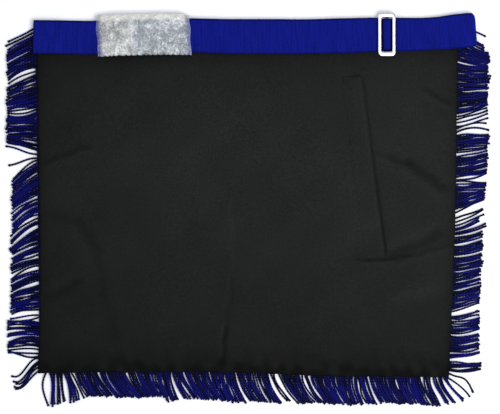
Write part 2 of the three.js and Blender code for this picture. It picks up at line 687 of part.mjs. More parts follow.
// From the right corner through the slider to the clasp's right bar, and back to the slider's bar.
function beltRight() {
  return webbing([
    [rightFold - beltOverhang - beltTail, beltLayer(0)],
    [rightFold - beltThickness / 2, beltLayer(0) + 0.3 * foldRise],
    [rightFold - beltThickness / 2, beltLayer(0) + 1.6 * foldRise],
    [rightFold - beltOverhang, beltLayer(1) + 0.5 * foldRise],
    [rightFold - beltOverhang - beltTail, beltLayer(1)],
    [rightFold - beltOverhang - beltTail - ease, beltLayer(0)],
    [sliderMiddle + sliderWidth / 2 + ease, beltLayer(0)],
    [sliderMiddle + sliderWidth / 2, beltLayer(1)],
    [sliderMiddle + humpSide, beltLayer(1)],
    [sliderMiddle + humpSide, humpTop],
    [sliderMiddle - humpSide, humpTop],
    [sliderMiddle - humpSide, beltLayer(1)],
    [sleeveRight + ease, beltLayer(1)],
    [sleeveRight, underClasp + beltThickness + gap],
    [claspRightSlot + claspBar + claspSlot, overClasp],
    [claspRightSlot, overClasp],
    [claspRightSlot, underClasp],
    [sleeveRight, underClasp],
    [sleeveRight + ease, beltLayer(0)],
    [sliderMiddle + loopSide, beltLayer(0)],
    [sliderMiddle + loopSide, loopTop],
    [sliderMiddle - loopSide, loopTop],
    [sliderMiddle - loopSide, barTop - sliderBarThickness / 2],
  ]);
}

function roundedRectangle(width, height, radius, path = new THREE.Shape()) {
  const [x, y] = [width / 2, height / 2];
  path.moveTo(-x + radius, -y);
  path.lineTo(x - radius, -y).absarc(x - radius, -y + radius, radius, -Math.PI / 2, 0);
  path.lineTo(x, y - radius).absarc(x - radius, y - radius, radius, 0, Math.PI / 2);
  path.lineTo(-x + radius, y).absarc(-x + radius, y - radius, radius, Math.PI / 2, Math.PI);
  path.lineTo(-x, -y + radius).absarc(-x + radius, -y + radius, radius, Math.PI, 1.5 * Math.PI);
  return path;
}

// Cast metal: a flat shape with its edges rounded over.
function casting(shape, thickness, edge) {
  const options = {
    depth: thickness - 2 * edge,
    bevelThickness: edge,
    bevelSize: edge,
    bevelOffset: -edge,
    bevelSegments: 1,
    curveSegments: 4,
  };
  return new THREE.ExtrudeGeometry(shape, options).translate(0, 0, edge);
}

// The rectangular slide: two legs, two ends and a bar between them, which the webbing is sewn round.
function slider() {
  const shape = roundedRectangle(sliderWidth, slotLength + 2 * sliderEnd, sliderCorner);
  shape.holes.push(roundedRectangle(sliderOpening, slotLength, slotClearance, new THREE.Path()));
  const frame = toSolid(casting(shape, sliderThickness, 0.2 * sliderThickness).translate(0, 0, sliderBase));
  const bar = new THREE.BoxGeometry(sliderBar, slotLength + sliderEnd, sliderBarThickness);
  bar.translate(0, 0, barTop - sliderBarThickness / 2);
  const post = new THREE.BoxGeometry(sliderBar, sliderEnd / 2, sliderBase - barTop + sliderBarThickness + sliderThickness);
  const postMiddle = (sliderBase + sliderThickness + barTop - sliderBarThickness) / 2;
  const end = (slotLength + sliderEnd / 2) / 2;
  let whole = frame.add(toSolid(bar));
  for (const side of [-1, 1]) whole = whole.add(toSolid(post.clone().translate(0, side * end, postMiddle - gap / 2)));
  return toGeometry(whole);
}

// A plain plate with a slot at each end for the webbing.
const claspWidth = slotLength + 2 * claspRail;
function clasp() {
  const shape = roundedRectangle(claspLength, claspWidth, claspCorner);
  for (const x of [claspLeftSlot - claspMiddle, claspRightSlot - claspMiddle]) {
    const slot = roundedRectangle(claspSlot, slotLength, slotClearance, new THREE.Path());
    const moved = slot.getPoints(2).map((p) => new THREE.Vector2(p.x + x, p.y));
    shape.holes.push(new THREE.Path(moved));
  }
  return casting(shape, claspThickness, 0.2 * claspThickness);
}

// How high the sleeve stands inside, going along it: low at its mouths and full over the clasp.
const sleeveMouthLeft = underClasp + beltThickness / 2 + 2 * gap;
const sleeveMouthRight = underClasp + 1.5 * beltThickness + 3 * gap;
const sleeveCrown = overClasp + beltThickness / 2 + 2 * gap;
const sleeveProfile = [
  { along: 0.0, full: 0.0 },
  { along: 0.12, full: 0.62 },
  { along: 0.22, full: 1.0 },
  { along: 0.88, full: 1.0 },
  { along: 0.95, full: 0.55 },
  { along: 1.0, full: 0.0 },
];

// One ring of the sleeve, a flattened round, with scallops of bubbles along its lower side.
function sleeveRing(along, wall) {
  const x = lerp(sleeveLeft, sleeveRight, along);
  const mouth = lerp(sleeveMouthLeft, sleeveMouthRight, along);
  const ceiling = lerp(mouth, sleeveCrown, read(sleeveProfile, 'along', along, 'full')) + wall;
  const floor = sleeveFloor - wall;
  const half = Math.max(claspWidth, beltWidth) / 2 + gap + wall;
  const crush = 0.25 * gap * Math.sin(x / 3.1) * (wall > 0 ? 1 : 0);
  const power = 1 / 3;
  return steps(16)
    .slice(0, -1)
    .map((t) => {
      const [c, s] = [Math.cos(2 * Math.PI * t), Math.sin(2 * Math.PI * t)];
      const y = Math.sign(c) * Math.abs(c) ** power;
      const z = Math.sign(s) * Math.abs(s) ** power;
      const scallop = bubbleScallop * Math.abs(Math.cos((Math.PI * x) / bubblePitch));
      const wide = half + (y > 0 ? sleeveSpare : scallop);
      const skew = -0.08 * y * half; // the film was wrapped a little askew
      const height = lerp(floor, ceiling, (z + 1) / 2) + crush * Math.max(z, 0);
      return new THREE.Vector3(x + skew, beltMiddle(x + skew) + y * wide, height);
    });
}

function sleeve() {
  const places = steps(20);
  const outer = places.map((along) => sleeveRing(along, sleeveWall));
  const inner = places.map((along) => sleeveRing(along, 0));
  const solid = loftedTube(outer, inner);
  return isInsideOut(solid) ? flipped(solid) : solid;
}

const material = (hex, roughness, metalness = 0, extra = {}) =>
  new THREE.MeshStandardMaterial({ color: hex, roughness, metalness, ...extra });
const liningCloth = material('#242625', 0.85);
const frontHide = material('#e9e7e0', 0.6);
const beltCloth = material('#141d84', 0.7);
const fringeCord = material('#15125c', 0.6);
const brightMetal = material('#f2f2f0', 0.18, 1);
const film = material('#b9bec4', 0.25, 0, { transparent: true, opacity: 0.75 });

const headings = {
  left: heading(fringeEdges.left, false, true, leftLocks[0].from),
  bottom: heading(fringeEdges.bottom, true, true, 0),
  right: heading(fringeEdges.right, false, true, rightLocks[0].from),
};
const pieces = new THREE.Group();
pieces.add(
  named('front_panel', frontPanel(), frontHide),
  named('lining', lining(), liningCloth),
  named('pocket_welt', pocketWelt(), liningCloth),
  named('pocket_bag', pocketBag(), liningCloth),
  named('fringe_left', fringe(fringeEdges.left, leftLocks, headings.left), fringeCord),
  named('fringe_bottom', fringe(fringeEdges.bottom, bottomLocks, headings.bottom), fringeCord),
  named('fringe_right', fringe(fringeEdges.right, rightLocks, headings.right), fringeCord),
  named('belt_left', beltLeft(), beltCloth),
  named('belt_right', beltRight(), beltCloth),
);
const slide = onBelt(named('belt_slider', slider(), brightMetal), sliderMiddle, 0);
const plateClasp = onBelt(named('belt_clasp', clasp(), brightMetal), claspMiddle, claspBase);
pieces.add(slide, plateClasp, named('clasp_sleeve', sleeve(), film));

// The origin is the middle of the whole apron, on the table.
const extent = new THREE.Box3().setFromObject(pieces);
const middle = extent.getCenter(new THREE.Vector3());
pieces.position.set(-middle.x, -middle.y, -extent.min.z);

const apron = new THREE.Group();
apron.add(pieces);
export default apron;
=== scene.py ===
"""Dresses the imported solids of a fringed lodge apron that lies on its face, its black lining up.

Lengths are millimetres from the middle of the apron's body until a mesh is made, and metres in it.
Across runs from 0 at the body's left edge to 1 at its right, and up from its bottom edge to its top.
"""

import math

import bpy
import numpy as np
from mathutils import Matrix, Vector

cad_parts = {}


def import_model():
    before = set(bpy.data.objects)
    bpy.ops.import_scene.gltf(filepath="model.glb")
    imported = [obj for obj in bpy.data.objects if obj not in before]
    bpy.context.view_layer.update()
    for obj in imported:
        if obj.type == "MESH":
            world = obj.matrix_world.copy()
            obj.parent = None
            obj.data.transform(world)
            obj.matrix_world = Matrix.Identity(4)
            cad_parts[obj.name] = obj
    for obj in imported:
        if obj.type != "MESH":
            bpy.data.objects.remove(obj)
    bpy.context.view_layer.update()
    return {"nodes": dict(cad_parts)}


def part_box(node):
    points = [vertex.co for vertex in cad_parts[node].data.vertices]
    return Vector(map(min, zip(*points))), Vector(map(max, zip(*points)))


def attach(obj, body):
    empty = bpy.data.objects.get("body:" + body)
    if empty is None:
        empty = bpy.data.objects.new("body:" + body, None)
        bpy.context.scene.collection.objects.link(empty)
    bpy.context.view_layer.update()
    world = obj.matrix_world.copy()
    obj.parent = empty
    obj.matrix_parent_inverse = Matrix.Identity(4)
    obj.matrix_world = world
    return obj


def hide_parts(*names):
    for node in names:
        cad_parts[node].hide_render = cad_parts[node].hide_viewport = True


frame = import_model()

# Sizes that the solids have too
BODY_WIDTH = 406
BODY_HEIGHT = 348
FRONT_THICKNESS = 1.6
LINING_THICKNESS = 1.0
GAP = 0.3
FRONT_INSET = 1.5
PUFF_HEIGHT = 2.2
HEADING_WIDTH = 9
HEADING_THICKNESS = 1.0
BELT_WIDTH = 33.6
BELT_PINCH = 0.06
BELT_THICKNESS = 1.2
BELT_TAIL = 22
BELT_OVERHANG = 16
FOLD_RISE = 2.4
BEND_RADIUS = 1.4
SLIDER_END = 5.6
SLIDER_LEG = 4.1
SLIDER_THICKNESS = 2.4
SLIDER_BAR = 2.0
SLIDER_BAR_THICKNESS = 1.8
SLIDER_CORNER = 4.2
SLIDER_PLACE = 0.84
SLOT_CLEARANCE = 0.8
CLASP_LENGTH = 48
CLASP_RAIL = 1.6
CLASP_BAR = 3.0
CLASP_SLOT = 4.6
CLASP_THICKNESS = 2.4
CLASP_TAIL = 12
SLEEVE_LENGTH = 91
SLEEVE_WALL = 1.0
SLEEVE_PLACE = 0.255
SLEEVE_SPARE = 2.6
BUBBLE_PITCH = 10.5
POCKET_OPENING = 176
POCKET_SLANT = math.radians(7.5)
POCKET_ACROSS = 0.8055
POCKET_UP = 0.587
WELT_WIDTH = 19
WELT_THICKNESS = 1.2
WELT_END = 2
EASE = 14

# Sizes that only show here
CORD_RADIUS = 0.95
CORD_SIDES = 7
CORD_STEPS = 38
CORD_TWIST = 2.9
CORD_SWELL = 0.13
STITCH_PITCH = 3.1
STITCH_LENGTH = 2.3
STITCH_WIDTH = 0.42
FILM_WALL = 0.3
FLOOR_DROP = 0.2
SLIDER_CREEP = -1.1
POCKET_CREEP = -1.5
POCKET_END_SLANT = math.radians(4.5)
SLIDER_TRIM = 0.3
LEG_SHADE = 2.4
SLOPE_REACH = 4
TABLE_REACH = 6000

# How far apart the ribs and the threads of the weaves lie
TWILL_RIB = 0.82
TWILL_THREAD = 0.46
WEBBING_RIB = 1.35
WEBBING_WARP = 0.6

# How far apart the points of the meshes lie. Steps and cuts are how many there are.
LINING_STEP = 2.2
CLOSE_STEP = 0.8
FRONT_STEP = 8
WELT_STEP = 2.4
WELT_EDGE_STEP = 0.9
BELT_STEP = 1.5
BEND_CUTS = 8
STITCH_STEP = 2.0
HEADING_STEPS = (5, 60)
FILM_STEPS = (250, 150)

# The camera, from the scene's origin
VIEW_WIDTH = 487
VIEW_LEVEL = 5
CAMERA_DISTANCE = 1500
CAMERA_PLACE = (2.15, 2.67)
SENSOR_WIDTH = 36

# Lights: place and target in metres, size in metres, power in watts and colour
LIGHTS = {
    "key": ((0.36, -0.16, 1.15), (0.05, 0, 0), 0.8, 13.5, (1.0, 0.985, 0.96)),
    "fill": ((-0.7, 0.4, 1.3), (0, 0, 0), 1.0, 3, (0.97, 0.98, 1.0)),
}
SKY_COLOUR = (0.9, 0.94, 1.0, 1)
SKY_STRENGTH = 0.5

# The darkest and the lightest colour of each material
TWILL_COLOURS = ((0.006758, 0.007316, 0.006882), (0.01635, 0.0177, 0.01665))
WEBBING_COLOURS = ((0.001, 0.0024, 0.066), (0.0053, 0.0107, 0.24))
CORD_COLOURS = ((0.0001, 0.0001, 0.002), (0.0022, 0.0024, 0.112))
METAL_COLOURS = ((0.86, 0.87, 0.89), (0.97, 0.97, 0.97))
COOL_FILM = ((0.13, 0.155, 0.185), (0.32, 0.35, 0.385))
BUFF_FILM = ((0.15, 0.158, 0.165), (0.37, 0.38, 0.37))
HIDE_COLOURS = ((0.74, 0.73, 0.68), (0.86, 0.85, 0.82))
THREAD_COLOURS = ((0.003, 0.003, 0.0035), (0.01, 0.011, 0.011))
TABLE_COLOURS = ((0.85, 0.86, 0.91), (0.88, 0.89, 0.93))

# The film where it is folded white, partly a painted highlight; single; doubled at its upper edge, with
# painted light there; and painted glints and painted highlights along its crinkles
WHITE_AND_HIGHLIGHT_FILM = (0.85, 0.86, 0.88)
SINGLE_FILM = (0.34, 0.37, 0.72)
PALE_PAINTED_LIGHT_FILM = (0.62, 0.62, 0.57)
GLINTING_FILM = (0.93, 0.95, 0.97)
CURL_HIGHLIGHT_FILM = (0.95, 0.97, 0.98)

# Heights of the layers
HEADING_BASE = FRONT_THICKNESS + GAP
HEADING_TOP = HEADING_BASE + HEADING_THICKNESS
LINING_SEAT = HEADING_TOP + GAP
LINING_TOP = LINING_SEAT + LINING_THICKNESS


def belt_layer(n):
    """How high the middle of the webbing lies with n layers of it below."""
    return LINING_TOP + GAP + BELT_THICKNESS / 2 + n * (BELT_THICKNESS + GAP)


# Places along the belt, and heights at its fittings
LEFT_FOLD = -0.51 * BODY_WIDTH
RIGHT_FOLD = 0.51 * BODY_WIDTH + BELT_OVERHANG
SLEEVE_MIDDLE = (SLEEVE_PLACE - 0.5) * BODY_WIDTH
SLEEVE_LEFT = SLEEVE_MIDDLE - SLEEVE_LENGTH / 2
SLEEVE_RIGHT = SLEEVE_MIDDLE + SLEEVE_LENGTH / 2
SLEEVE_FLOOR = LINING_TOP + GAP + SLEEVE_WALL
UNDER_CLASP = SLEEVE_FLOOR + 1.6 * GAP + BELT_THICKNESS / 2
CLASP_TOP = UNDER_CLASP + BELT_THICKNESS / 2 + GAP + CLASP_THICKNESS
OVER_CLASP = CLASP_TOP + GAP + BELT_THICKNESS / 2
CLASP_MIDDLE = SLEEVE_MIDDLE + SLEEVE_LENGTH / 10
CLASP_LEFT_SLOT = CLASP_MIDDLE - CLASP_LENGTH / 2 + CLASP_BAR + CLASP_SLOT / 2
CLASP_RIGHT_SLOT = CLASP_MIDDLE + CLASP_LENGTH / 2 - CLASP_BAR - CLASP_SLOT / 2
SLIDER_MIDDLE = (SLIDER_PLACE - 0.5) * BODY_WIDTH + SLIDER_CREEP
SLIDER_BASE = belt_layer(1) + BELT_THICKNESS / 2 + GAP
LOOP_SIDE = SLIDER_BAR / 2 + GAP + BELT_THICKNESS / 2
HUMP_SIDE = LOOP_SIDE + BELT_THICKNESS + GAP
SLIDER_OPENING = 2 * (HUMP_SIDE + BELT_THICKNESS / 2 + SLOT_CLEARANCE)
SLIDER_WIDTH = SLIDER_OPENING + 2 * SLIDER_LEG
SLOT_LENGTH = BELT_WIDTH * (1 - BELT_PINCH) + SLOT_CLEARANCE
CLASP_WIDTH = SLOT_LENGTH + 2 * CLASP_RAIL
BAR_TOP = LINING_TOP + 2 * GAP + BELT_THICKNESS + GAP + SLIDER_BAR_THICKNESS
LOOP_TOP = BAR_TOP + GAP + BELT_THICKNESS / 2
HUMP_TOP = LOOP_TOP + GAP + BELT_THICKNESS

# The body's edges as shares of its size from its middle: up, left, right and across, bottom, top
SIDE_EDGES = [
    (0.0, -0.497, 0.487),
    (0.25, -0.498, 0.498),
    (0.5, -0.501, 0.504),
    (1.0, -0.508, 0.51),
]
END_EDGES = [
    (0.0, -0.495, 0.49),
    (0.3, -0.491, 0.492),
    (0.55, -0.496, 0.494),
    (0.72, -0.505, 0.496),
    (1.0, -0.507, 0.498),
]

# The belt's middle line: share of the body's width, how far below the body's top in belt widths,
# and how much narrower the belt lies there, in mm
BELT_LINE = [
    (-0.51, 0.557, 1.0),
    (-0.41, 0.563, 1.2),
    (-0.37, 0.573, 1.0),
    (-0.3, 0.53, 1.0),
    (-0.19, 0.506, 1.0),
    (-0.1, 0.512, 0.7),
    (-0.04, 0.545, 0.0),
    (0.11, 0.543, 0.0),
    (0.18, 0.53, 0.0),
    (0.25, 0.519, 0.0),
    (0.3, 0.492, 0.4),
    (0.38, 0.478, 1.4),
    (0.43, 0.463, 1.7),
    (0.465, 0.444, 1.4),
    (0.5, 0.401, 0.6),
    (0.55, 0.36, 0.0),
]

# Broad swellings of the lining: across, up, how wide, how tall, height as a share of the puff height
SWELLS = [
    (0.3, 0.62, 0.24, 0.26, 0.9),
    (0.62, 0.36, 0.26, 0.24, 0.8),
    (0.13, 0.3, 0.1, 0.13, 1.0),
    (0.92, 0.66, 0.07, 0.1, 0.9),
    (0.92, 0.46, 0.07, 0.07, 1.0),
    (0.38, 0.14, 0.14, 0.09, 0.7),
]

# How far the lining is drawn in at its left edge: up as a share, in mm
LEFT_DRAW = [(0.0, -0.6), (0.08, -0.4), (0.14, 0.6), (0.3, 1.1), (0.36, 1.6), (0.7, 1.6), (1.0, 1.8)]

# Painted light on the twill, darker and lighter with place: across or up, share of the most
PAINTED_LIGHT_ACROSS = [
    (0.0, 0.74), (0.03, 0.72), (0.06, 0.77), (0.12, 0.82), (0.2, 0.88), (0.29, 0.93), (0.36, 0.98),
    (0.43, 1.0), (0.54, 0.95), (0.62, 0.96), (0.7, 1.0), (0.87, 1.05), (1.0, 1.05),
]
PAINTED_LIGHT_UP = [
    (0.0, 0.1), (0.018, 0.22), (0.035, 0.4), (0.08, 0.61), (0.14, 0.72), (0.25, 0.78), (0.36, 0.86),
    (0.5, 0.95), (0.6, 1.0), (0.8, 0.97), (1.0, 0.93),
]

# Creases: from across and up, to across and up, half width in mm, depth in mm, ridge beside it in mm
CREASES = [
    (0.8, 0.628, 0.84, 0.615, 2.0, 0.7, 0.3),
    (0.84, 0.615, 0.886, 0.596, 3.4, 1.3, 0.4),
    (0.886, 0.596, 0.975, 0.528, 4.8, 1.5, 0.4),
    (0.92, 0.807, 0.985, 0.765, 2.4, 1.3, 0.5),
    (0.845, 0.338, 0.965, 0.4, 4.6, 1.2, -0.6),
    (0.86, 0.327, 0.985, 0.37, 2.4, 0.8, 0.4),
    (0.015, 0.602, 0.125, 0.645, 3.2, 1.0, 0.4),
    (0.03, 0.452, 0.1, 0.43, 4.6, 0.7, 0.2),
    (0.1, 0.43, 0.14, 0.35, 5.6, 0.8, 0.2),
    (0.14, 0.35, 0.157, 0.22, 6.0, 0.6, 0.1),
    (0.157, 0.22, 0.19, 0.1, 6.0, 0.7, 0.1),
    (0.01, 0.215, 0.1, 0.26, 4.2, 0.9, -0.3),
    (0.467, 0.27, 0.456, 0.13, 2.0, 0.7, 0.5),
    (0.456, 0.13, 0.445, 0.01, 1.7, 2.0, 0.8),
    (0.462, 0.5, 0.464, 0.3, 2.4, -0.5, 0.0),
    (0.76, 0.327, 0.895, 0.336, 1.3, 0.8, 0.3),
    (0.765, 0.86, 0.81, 0.866, 1.2, 0.6, 0.2),
    (0.86, 0.22, 0.975, 0.25, 6.0, -0.8, 0.0),
    (0.36, 0.05, 0.352, 0.0, 3.0, 0.5, 0.3),
    (0.6, 0.04, 0.59, 0.0, 3.4, 0.5, 0.3),
]

# Locks of the fringe, in mm: from and to along the edge, how far apart the cords hang, how far the
# tips drift along the edge at from and at to, bow of the cords at half length, and reach of the tips.
# Cords that curl have their sway at a quarter of their length too.
LEFT_LOCKS = [
    (6, 6, 3, 12.8, 12.8, 0.5, 27.4),
    (9.8, 9.8, 3, 14.8, 14.8, 0.5, 28.8),
    (12.5, 39, 2.6, 15.5, 12, -0.6, 27.5),
    (41, 43, 2.6, 12, 12, -2.8, 27),
    (44.8, 44.8, 3, 12, 12, -3, 27),
    (48.5, 48.5, 3, 12.5, 12.5, -2.4, 27),
    (51.2, 57.5, 2.6, 12.8, 11.8, -0.6, 28),
    (60, 65, 2.6, 12, 9.5, -0.4, 28),
    (66.5, 82, 2.6, 9, 4, 0, 28.5),
    (83.5, 83.5, 3, 4.5, 4.5, 1, 28.5),
    (85.6, 85.6, 3, 3.5, 3.5, 1.6, 28.5),
    (88, 92.5, 2.6, 2, 3, 3.3, 28.5),
    (95, 97, 2.6, -1, 0, 2.5, 29),
    (98.8, 112.5, 2.4, -1, 0.5, 0, 29),
    (114.5, 117, 2.7, -3, -4, -0.4, 29),
    (119.5, 121.5, 2.6, -6, -6.5, -0.5, 29),
    (123.6, 125.4, 2.6, -8, -8.4, -0.8, 29),
    (129.4, 129.4, 3, -8, -8, 0.3, 30),
    (133, 133, 3, 7.3, 7.3, -0.9, 28.6),
    (135.2, 135.2, 3, 18, 18, -2.4, 24.5),
    (137.8, 137.8, 3, 18.5, 18.5, -2, 24.3),
    (140, 146, 2.6, 19, 19.5, -1.6, 24.2),
    (149.3, 168.8, 2.6, 18.5, 14, -1, 24.6),
    (172.5, 185.5, 2.7, 14, 18.5, -2, 25.5),
    (188.4, 188.4, 3, 18.5, 18.5, -3, 26.5),
    (191.6, 191.6, 3, 19, 19, -2.8, 27),
    (194.8, 197.4, 2.7, 19, 19.5, -2.6, 27),
    (202, 213, 2.6, 19.5, 11.5, -1.4, 27),
    (215, 224.4, 2.6, 11, 10, -1, 25.5),
    (227.4, 227.4, 3, 10, 10, -1, 26),
    (230.8, 236, 2.7, 9, 8, -1, 27),
    (238, 238, 3, 13, 13, -2, 27),
    (242.4, 245, 2.6, 9, 9, -1.6, 27),
    (246.4, 252.4, 2.6, 11.5, 11, -1, 27),
    (256.4, 261.6, 2.6, 10, 7, -0.5, 27.3),
    (264, 270, 2.6, 4, 5, 0, 27),
    (271, 279, 2.7, 5, 4, -1, 27.5),
    (281, 281, 3, 5, 5, -2.2, 28),
    (286.2, 286.2, 3, 3, 3, -1, 29),
    (288.4, 288.4, 3, 6, 6, -1, 28),
    (293.6, 306, 2.35, -2, 1.5, -1, 30.5),
    (308.2, 315, 2.8, 4, 2.5, -2.8, 30.5),
    (316.8, 319.8, 3.2, 1.5, 0, -1, 30.5),
    (323.8, 323.8, 3, -1.5, -1.5, 0.6, 30.5),
    (326.4, 326.4, 3, -5.4, -5.4, 2.5, 30),
    (328, 328, 3, 18, 18, 1.3, 26.8, -3.1),
    (331.4, 336.8, 3.1, 19.5, 19, 3, 24, -2.4),
    (340.4, 340.4, 3, 18.5, 18.5, 2.5, 23.4, -1.2),
]
BOTTOM_LOCKS = [
    (6.8, 6.8, 3, 1.6, 1.6, -3.8, 32),
    (10.4, 12.4, 2, 1.6, 1, 1.8, 31),
    (14.8, 14.8, 3, 1.2, 1.2, -1, 31),
    (17, 18.8, 1.8, 0.8, 1.4, 0.8, 30.6),
    (20.4, 20.4, 3, 3, 3, -0.8, 29.4),
    (22.2, 22.2, 3, 3.2, 3.2, -0.4, 28.8),
    (23.8, 25.6, 1.8, 6.4, 6.4, 1.8, 28.2),
    (27.6, 29.4, 1.8, 8.6, 8.6, 0.8, 27.2),
    (31.6, 31.6, 3, 11.6, 11.6, 0.2, 25),
    (35.6, 50, 2.5, 12, 12.5, -1.3, 23.4),
    (52.2, 56, 2.5, 14, 15, -1.9, 23.4),
    (59.6, 84, 2.5, 16.5, 16.5, -2.8, 25),
    (87.6, 93, 2.5, 15.5, 14.5, -2.6, 24.6),
    (95.2, 118, 2.5, 14, 8.5, -2.1, 24.4),
    (119, 128, 2.5, 7, 7.5, -1.3, 28.4),
    (130, 139.5, 2.5, 12.5, 16.5, -2.1, 26.3),
    (142.4, 146.8, 2.5, 17, 17, -2.1, 26.2),
    (148.8, 165, 2.5, 16, 13.5, -2.1, 26),
    (166.6, 178, 2.5, 12, 10, -1.8, 27.6),
    (179.6, 191, 2.5, 11.5, 12, -1.9, 28.8),
    (193, 207, 2.6, 13.5, 14, -2.1, 27.4),
    (208.6, 223, 2.5, 13.5, 14.5, -2.1, 28.4),
    (226, 229.6, 3, 16.5, 17, -2.3, 26),
    (234, 234, 3, 21.6, 21.6, -2.9, 28.6),
    (236.4, 253.6, 2.5, 20.5, 15.5, -2.5, 27),
    (256.4, 261.4, 3, 17, 18, -2.9, 26.8),
    (265, 292, 2.5, 15.5, 12, -2.1, 26.2),
    (293.6, 304, 2.6, 10.5, 6.5, -1.7, 27.2),
    (305.4, 319.6, 2.5, 7, 11.5, -1.9, 26.6),
    (322.6, 338, 2.5, 12, 12.8, -1.9, 25),
    (339.6, 361, 2.5, 12.6, 12.8, -1.9, 26),
    (362.4, 371.6, 2.5, 12.8, 12.6, -1.9, 27),
    (375.2, 381.2, 2.6, 11, 11.6, -1.7, 27.6),
    (384.4, 387, 2.5, 13.4, 14, -1.9, 25.6),
    (389.6, 392.4, 2.6, 15.6, 16, -2.1, 25),
    (394.4, 398, 2.6, 18.6, 18.2, -1.7, 22.6),
    (399.2, 399.2, 3, 24.6, 24.6, 2.5, 19),
]
RIGHT_LOCKS = [
    (6.6, 6.6, 3, 10.4, 10.4, 0, 27.4),
    (11, 15.8, 2.55, 15.4, 15.6, 0.6, 25.6),
    (17.4, 19.8, 2.55, 16, 15.4, 2, 29.6),
    (21.4, 31, 2.55, 14.6, 11.6, 1.6, 31),
    (33, 40.4, 2.55, 9.6, 5.5, 1, 30),
    (43.4, 52, 2.55, 4, 1.6, 0.8, 29.6),
    (53.6, 56.8, 3, 1.6, 1, 0.4, 33),
    (54.6, 75, 2.45, 0.6, -1, 0.2, 30.6),
    (76.6, 88, 2.45, -3, -6, 0, 29.6),
    (89.8, 92.6, 2.55, -8.6, -9, 0.8, 30),
    (95.4, 95.4, 3, -10, -10, 0.6, 30.2),
    (98.2, 105, 3, -9.8, -9.2, 0.6, 31),
    (107.4, 107.4, 3, -5.4, -5.4, -2.6, 31.2),
    (110.6, 110.6, 3, -2.2, -2.2, -3.4, 31.4),
    (113.8, 124.6, 2.55, -1, -3, -0.6, 31.6),
    (126.8, 130.4, 2.55, -3.6, -4.6, 0, 30.4),
    (134.4, 149.4, 2.55, -5.4, -5.6, 0.9, 30.8),
    (150.6, 152, 2.55, -4, -3, 0.6, 30.6),
    (154.4, 154.4, 3, -5, -5, 0.4, 29.4),
    (157.2, 157.2, 3, -7.4, -7.4, 2, 29.4),
    (158.4, 158.4, 3, 1, 1, 0, 30.4),
    (161.2, 168.4, 2.55, -1, -2, 0, 29.6),
    (169.8, 186.4, 2.55, -3, -10.5, 0.4, 28),
    (189.4, 189.4, 3, -13, -13, 0.4, 25.4),
    (194.8, 196, 2.55, -11, -10.4, 0.8, 27),
    (198.6, 198.6, 3, -12.6, -12.6, 0.8, 27.4),
    (202, 202, 3, -11.6, -11.6, 0.8, 28.6),
    (204.4, 207, 2.55, -10.6, -9.4, 1.4, 24),
    (208.6, 211, 2.55, -9, -8.8, 1.4, 29.8),
    (213.4, 219.4, 2.6, -7, -7, 1, 27.2),
    (222, 231.2, 2.55, -6.4, -6, 1.5, 27.6),
    (233.4, 248.6, 2.55, -6, -5, 0.8, 27.2),
    (250.4, 274, 2.55, -6, -7.6, 0.6, 26.6),
    (275.6, 283.4, 2.55, -7.2, -8.8, 0.6, 26),
    (285.6, 285.6, 3, -8.4, -8.4, 0.5, 26.4),
    (290.2, 292.4, 2.55, -6, -4.8, 1.2, 26),
    (294.8, 307, 2.55, -4.2, -4, 1.4, 27.8),
    (309, 325, 2.55, -2, -3, 1.5, 28),
    (327.2, 331, 2.45, -3.6, -4.6, 1.4, 29),
    (334.6, 343.4, 2.2, 1, -1, 1, 31),
    (346, 346, 3, 18.8, 18.8, -6.6, 25.8, 1.9),
]


# Shapes in the plane


def smoothstep(value, low, high):
    t = np.clip((np.asarray(value, float) - low) / (high - low), 0, 1)
    return t * t * (3 - 2 * t)


def between(value, low, risen, falling, high):
    """0 up to low, 1 from risen to falling, and 0 again from high."""
    return smoothstep(value, low, risen) * (1 - smoothstep(value, falling, high))


def hump(value, width):
    """1 at 0, fading away on both sides over about that width."""
    return np.exp(-((value / width) ** 2))


def fade(value, width):
    """1 up to 0, fading away past it over about that width."""
    return np.exp(-np.maximum(value, 0) / width)


def boxy(value, power):
    """Numbers from -1 to 1, drawn towards those ends where the power is below 1."""
    return np.sign(value) * np.abs(value) ** power


def read(table, column, value):
    """A column of a table where its first column has that value, or between the nearest rows."""
    columns = np.transpose(table)
    return np.interp(value, columns[0], columns[column])


def body_point(across, up):
    """Where a place on the body lies, as x and y."""
    left, right = [read(SIDE_EDGES, column, up) for column in (1, 2)]
    bottom, top = [read(END_EDGES, column, across) for column in (1, 2)]
    x = (left + (right - left) * across) * BODY_WIDTH
    y = (bottom + (top - bottom) * up) * BODY_HEIGHT
    return x, y


def body_shares(x, y):
    """The place on the body over a point, the other way round."""
    across = np.asarray(x, float) * 0 + 0.5
    up = np.asarray(y, float) * 0 + 0.5
    for _ in range(5):
        here_x, here_y = body_point(across, up)
        across = across + (x - here_x) / BODY_WIDTH
        up = up + (y - here_y) / BODY_HEIGHT
    return across, up


def belt_middle(x):
    return BODY_HEIGHT / 2 - read(BELT_LINE, 1, np.asarray(x) / BODY_WIDTH) * BELT_WIDTH


def belt_lower_edge(x):
    return belt_middle(x) - BELT_WIDTH / 2


def belt_slope(x):
    return (belt_middle(x + SLOPE_REACH) - belt_middle(x - SLOPE_REACH)) / (2 * SLOPE_REACH)


def ripples(x, y, length, seed, count=8):
    """Soft uneven waves of about that length, mostly between -1 and 1."""
    rng = np.random.default_rng(seed)
    total = 0
    for _ in range(count):
        turn, phase = rng.uniform(0, 2 * math.pi, 2)
        long = length * rng.uniform(0.7, 1.5)
        place = x * math.cos(turn) + y * math.sin(turn)
        total = total + np.sin(2 * math.pi * place / long + phase)
    return total / math.sqrt(count)


# Meshes

lining_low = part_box("lining")[0]
BODY_MIDDLE = np.array(
    [
        lining_low[0] * 1000 - SIDE_EDGES[-1][1] * BODY_WIDTH,
        lining_low[1] * 1000 - END_EDGES[-1][1] * BODY_HEIGHT,
        0.0,
    ]
)


def world(points):
    """Millimetres from the body's middle, as metres in the scene."""
    return (np.asarray(points, float).reshape(-1, 3) + BODY_MIDDLE) / 1000


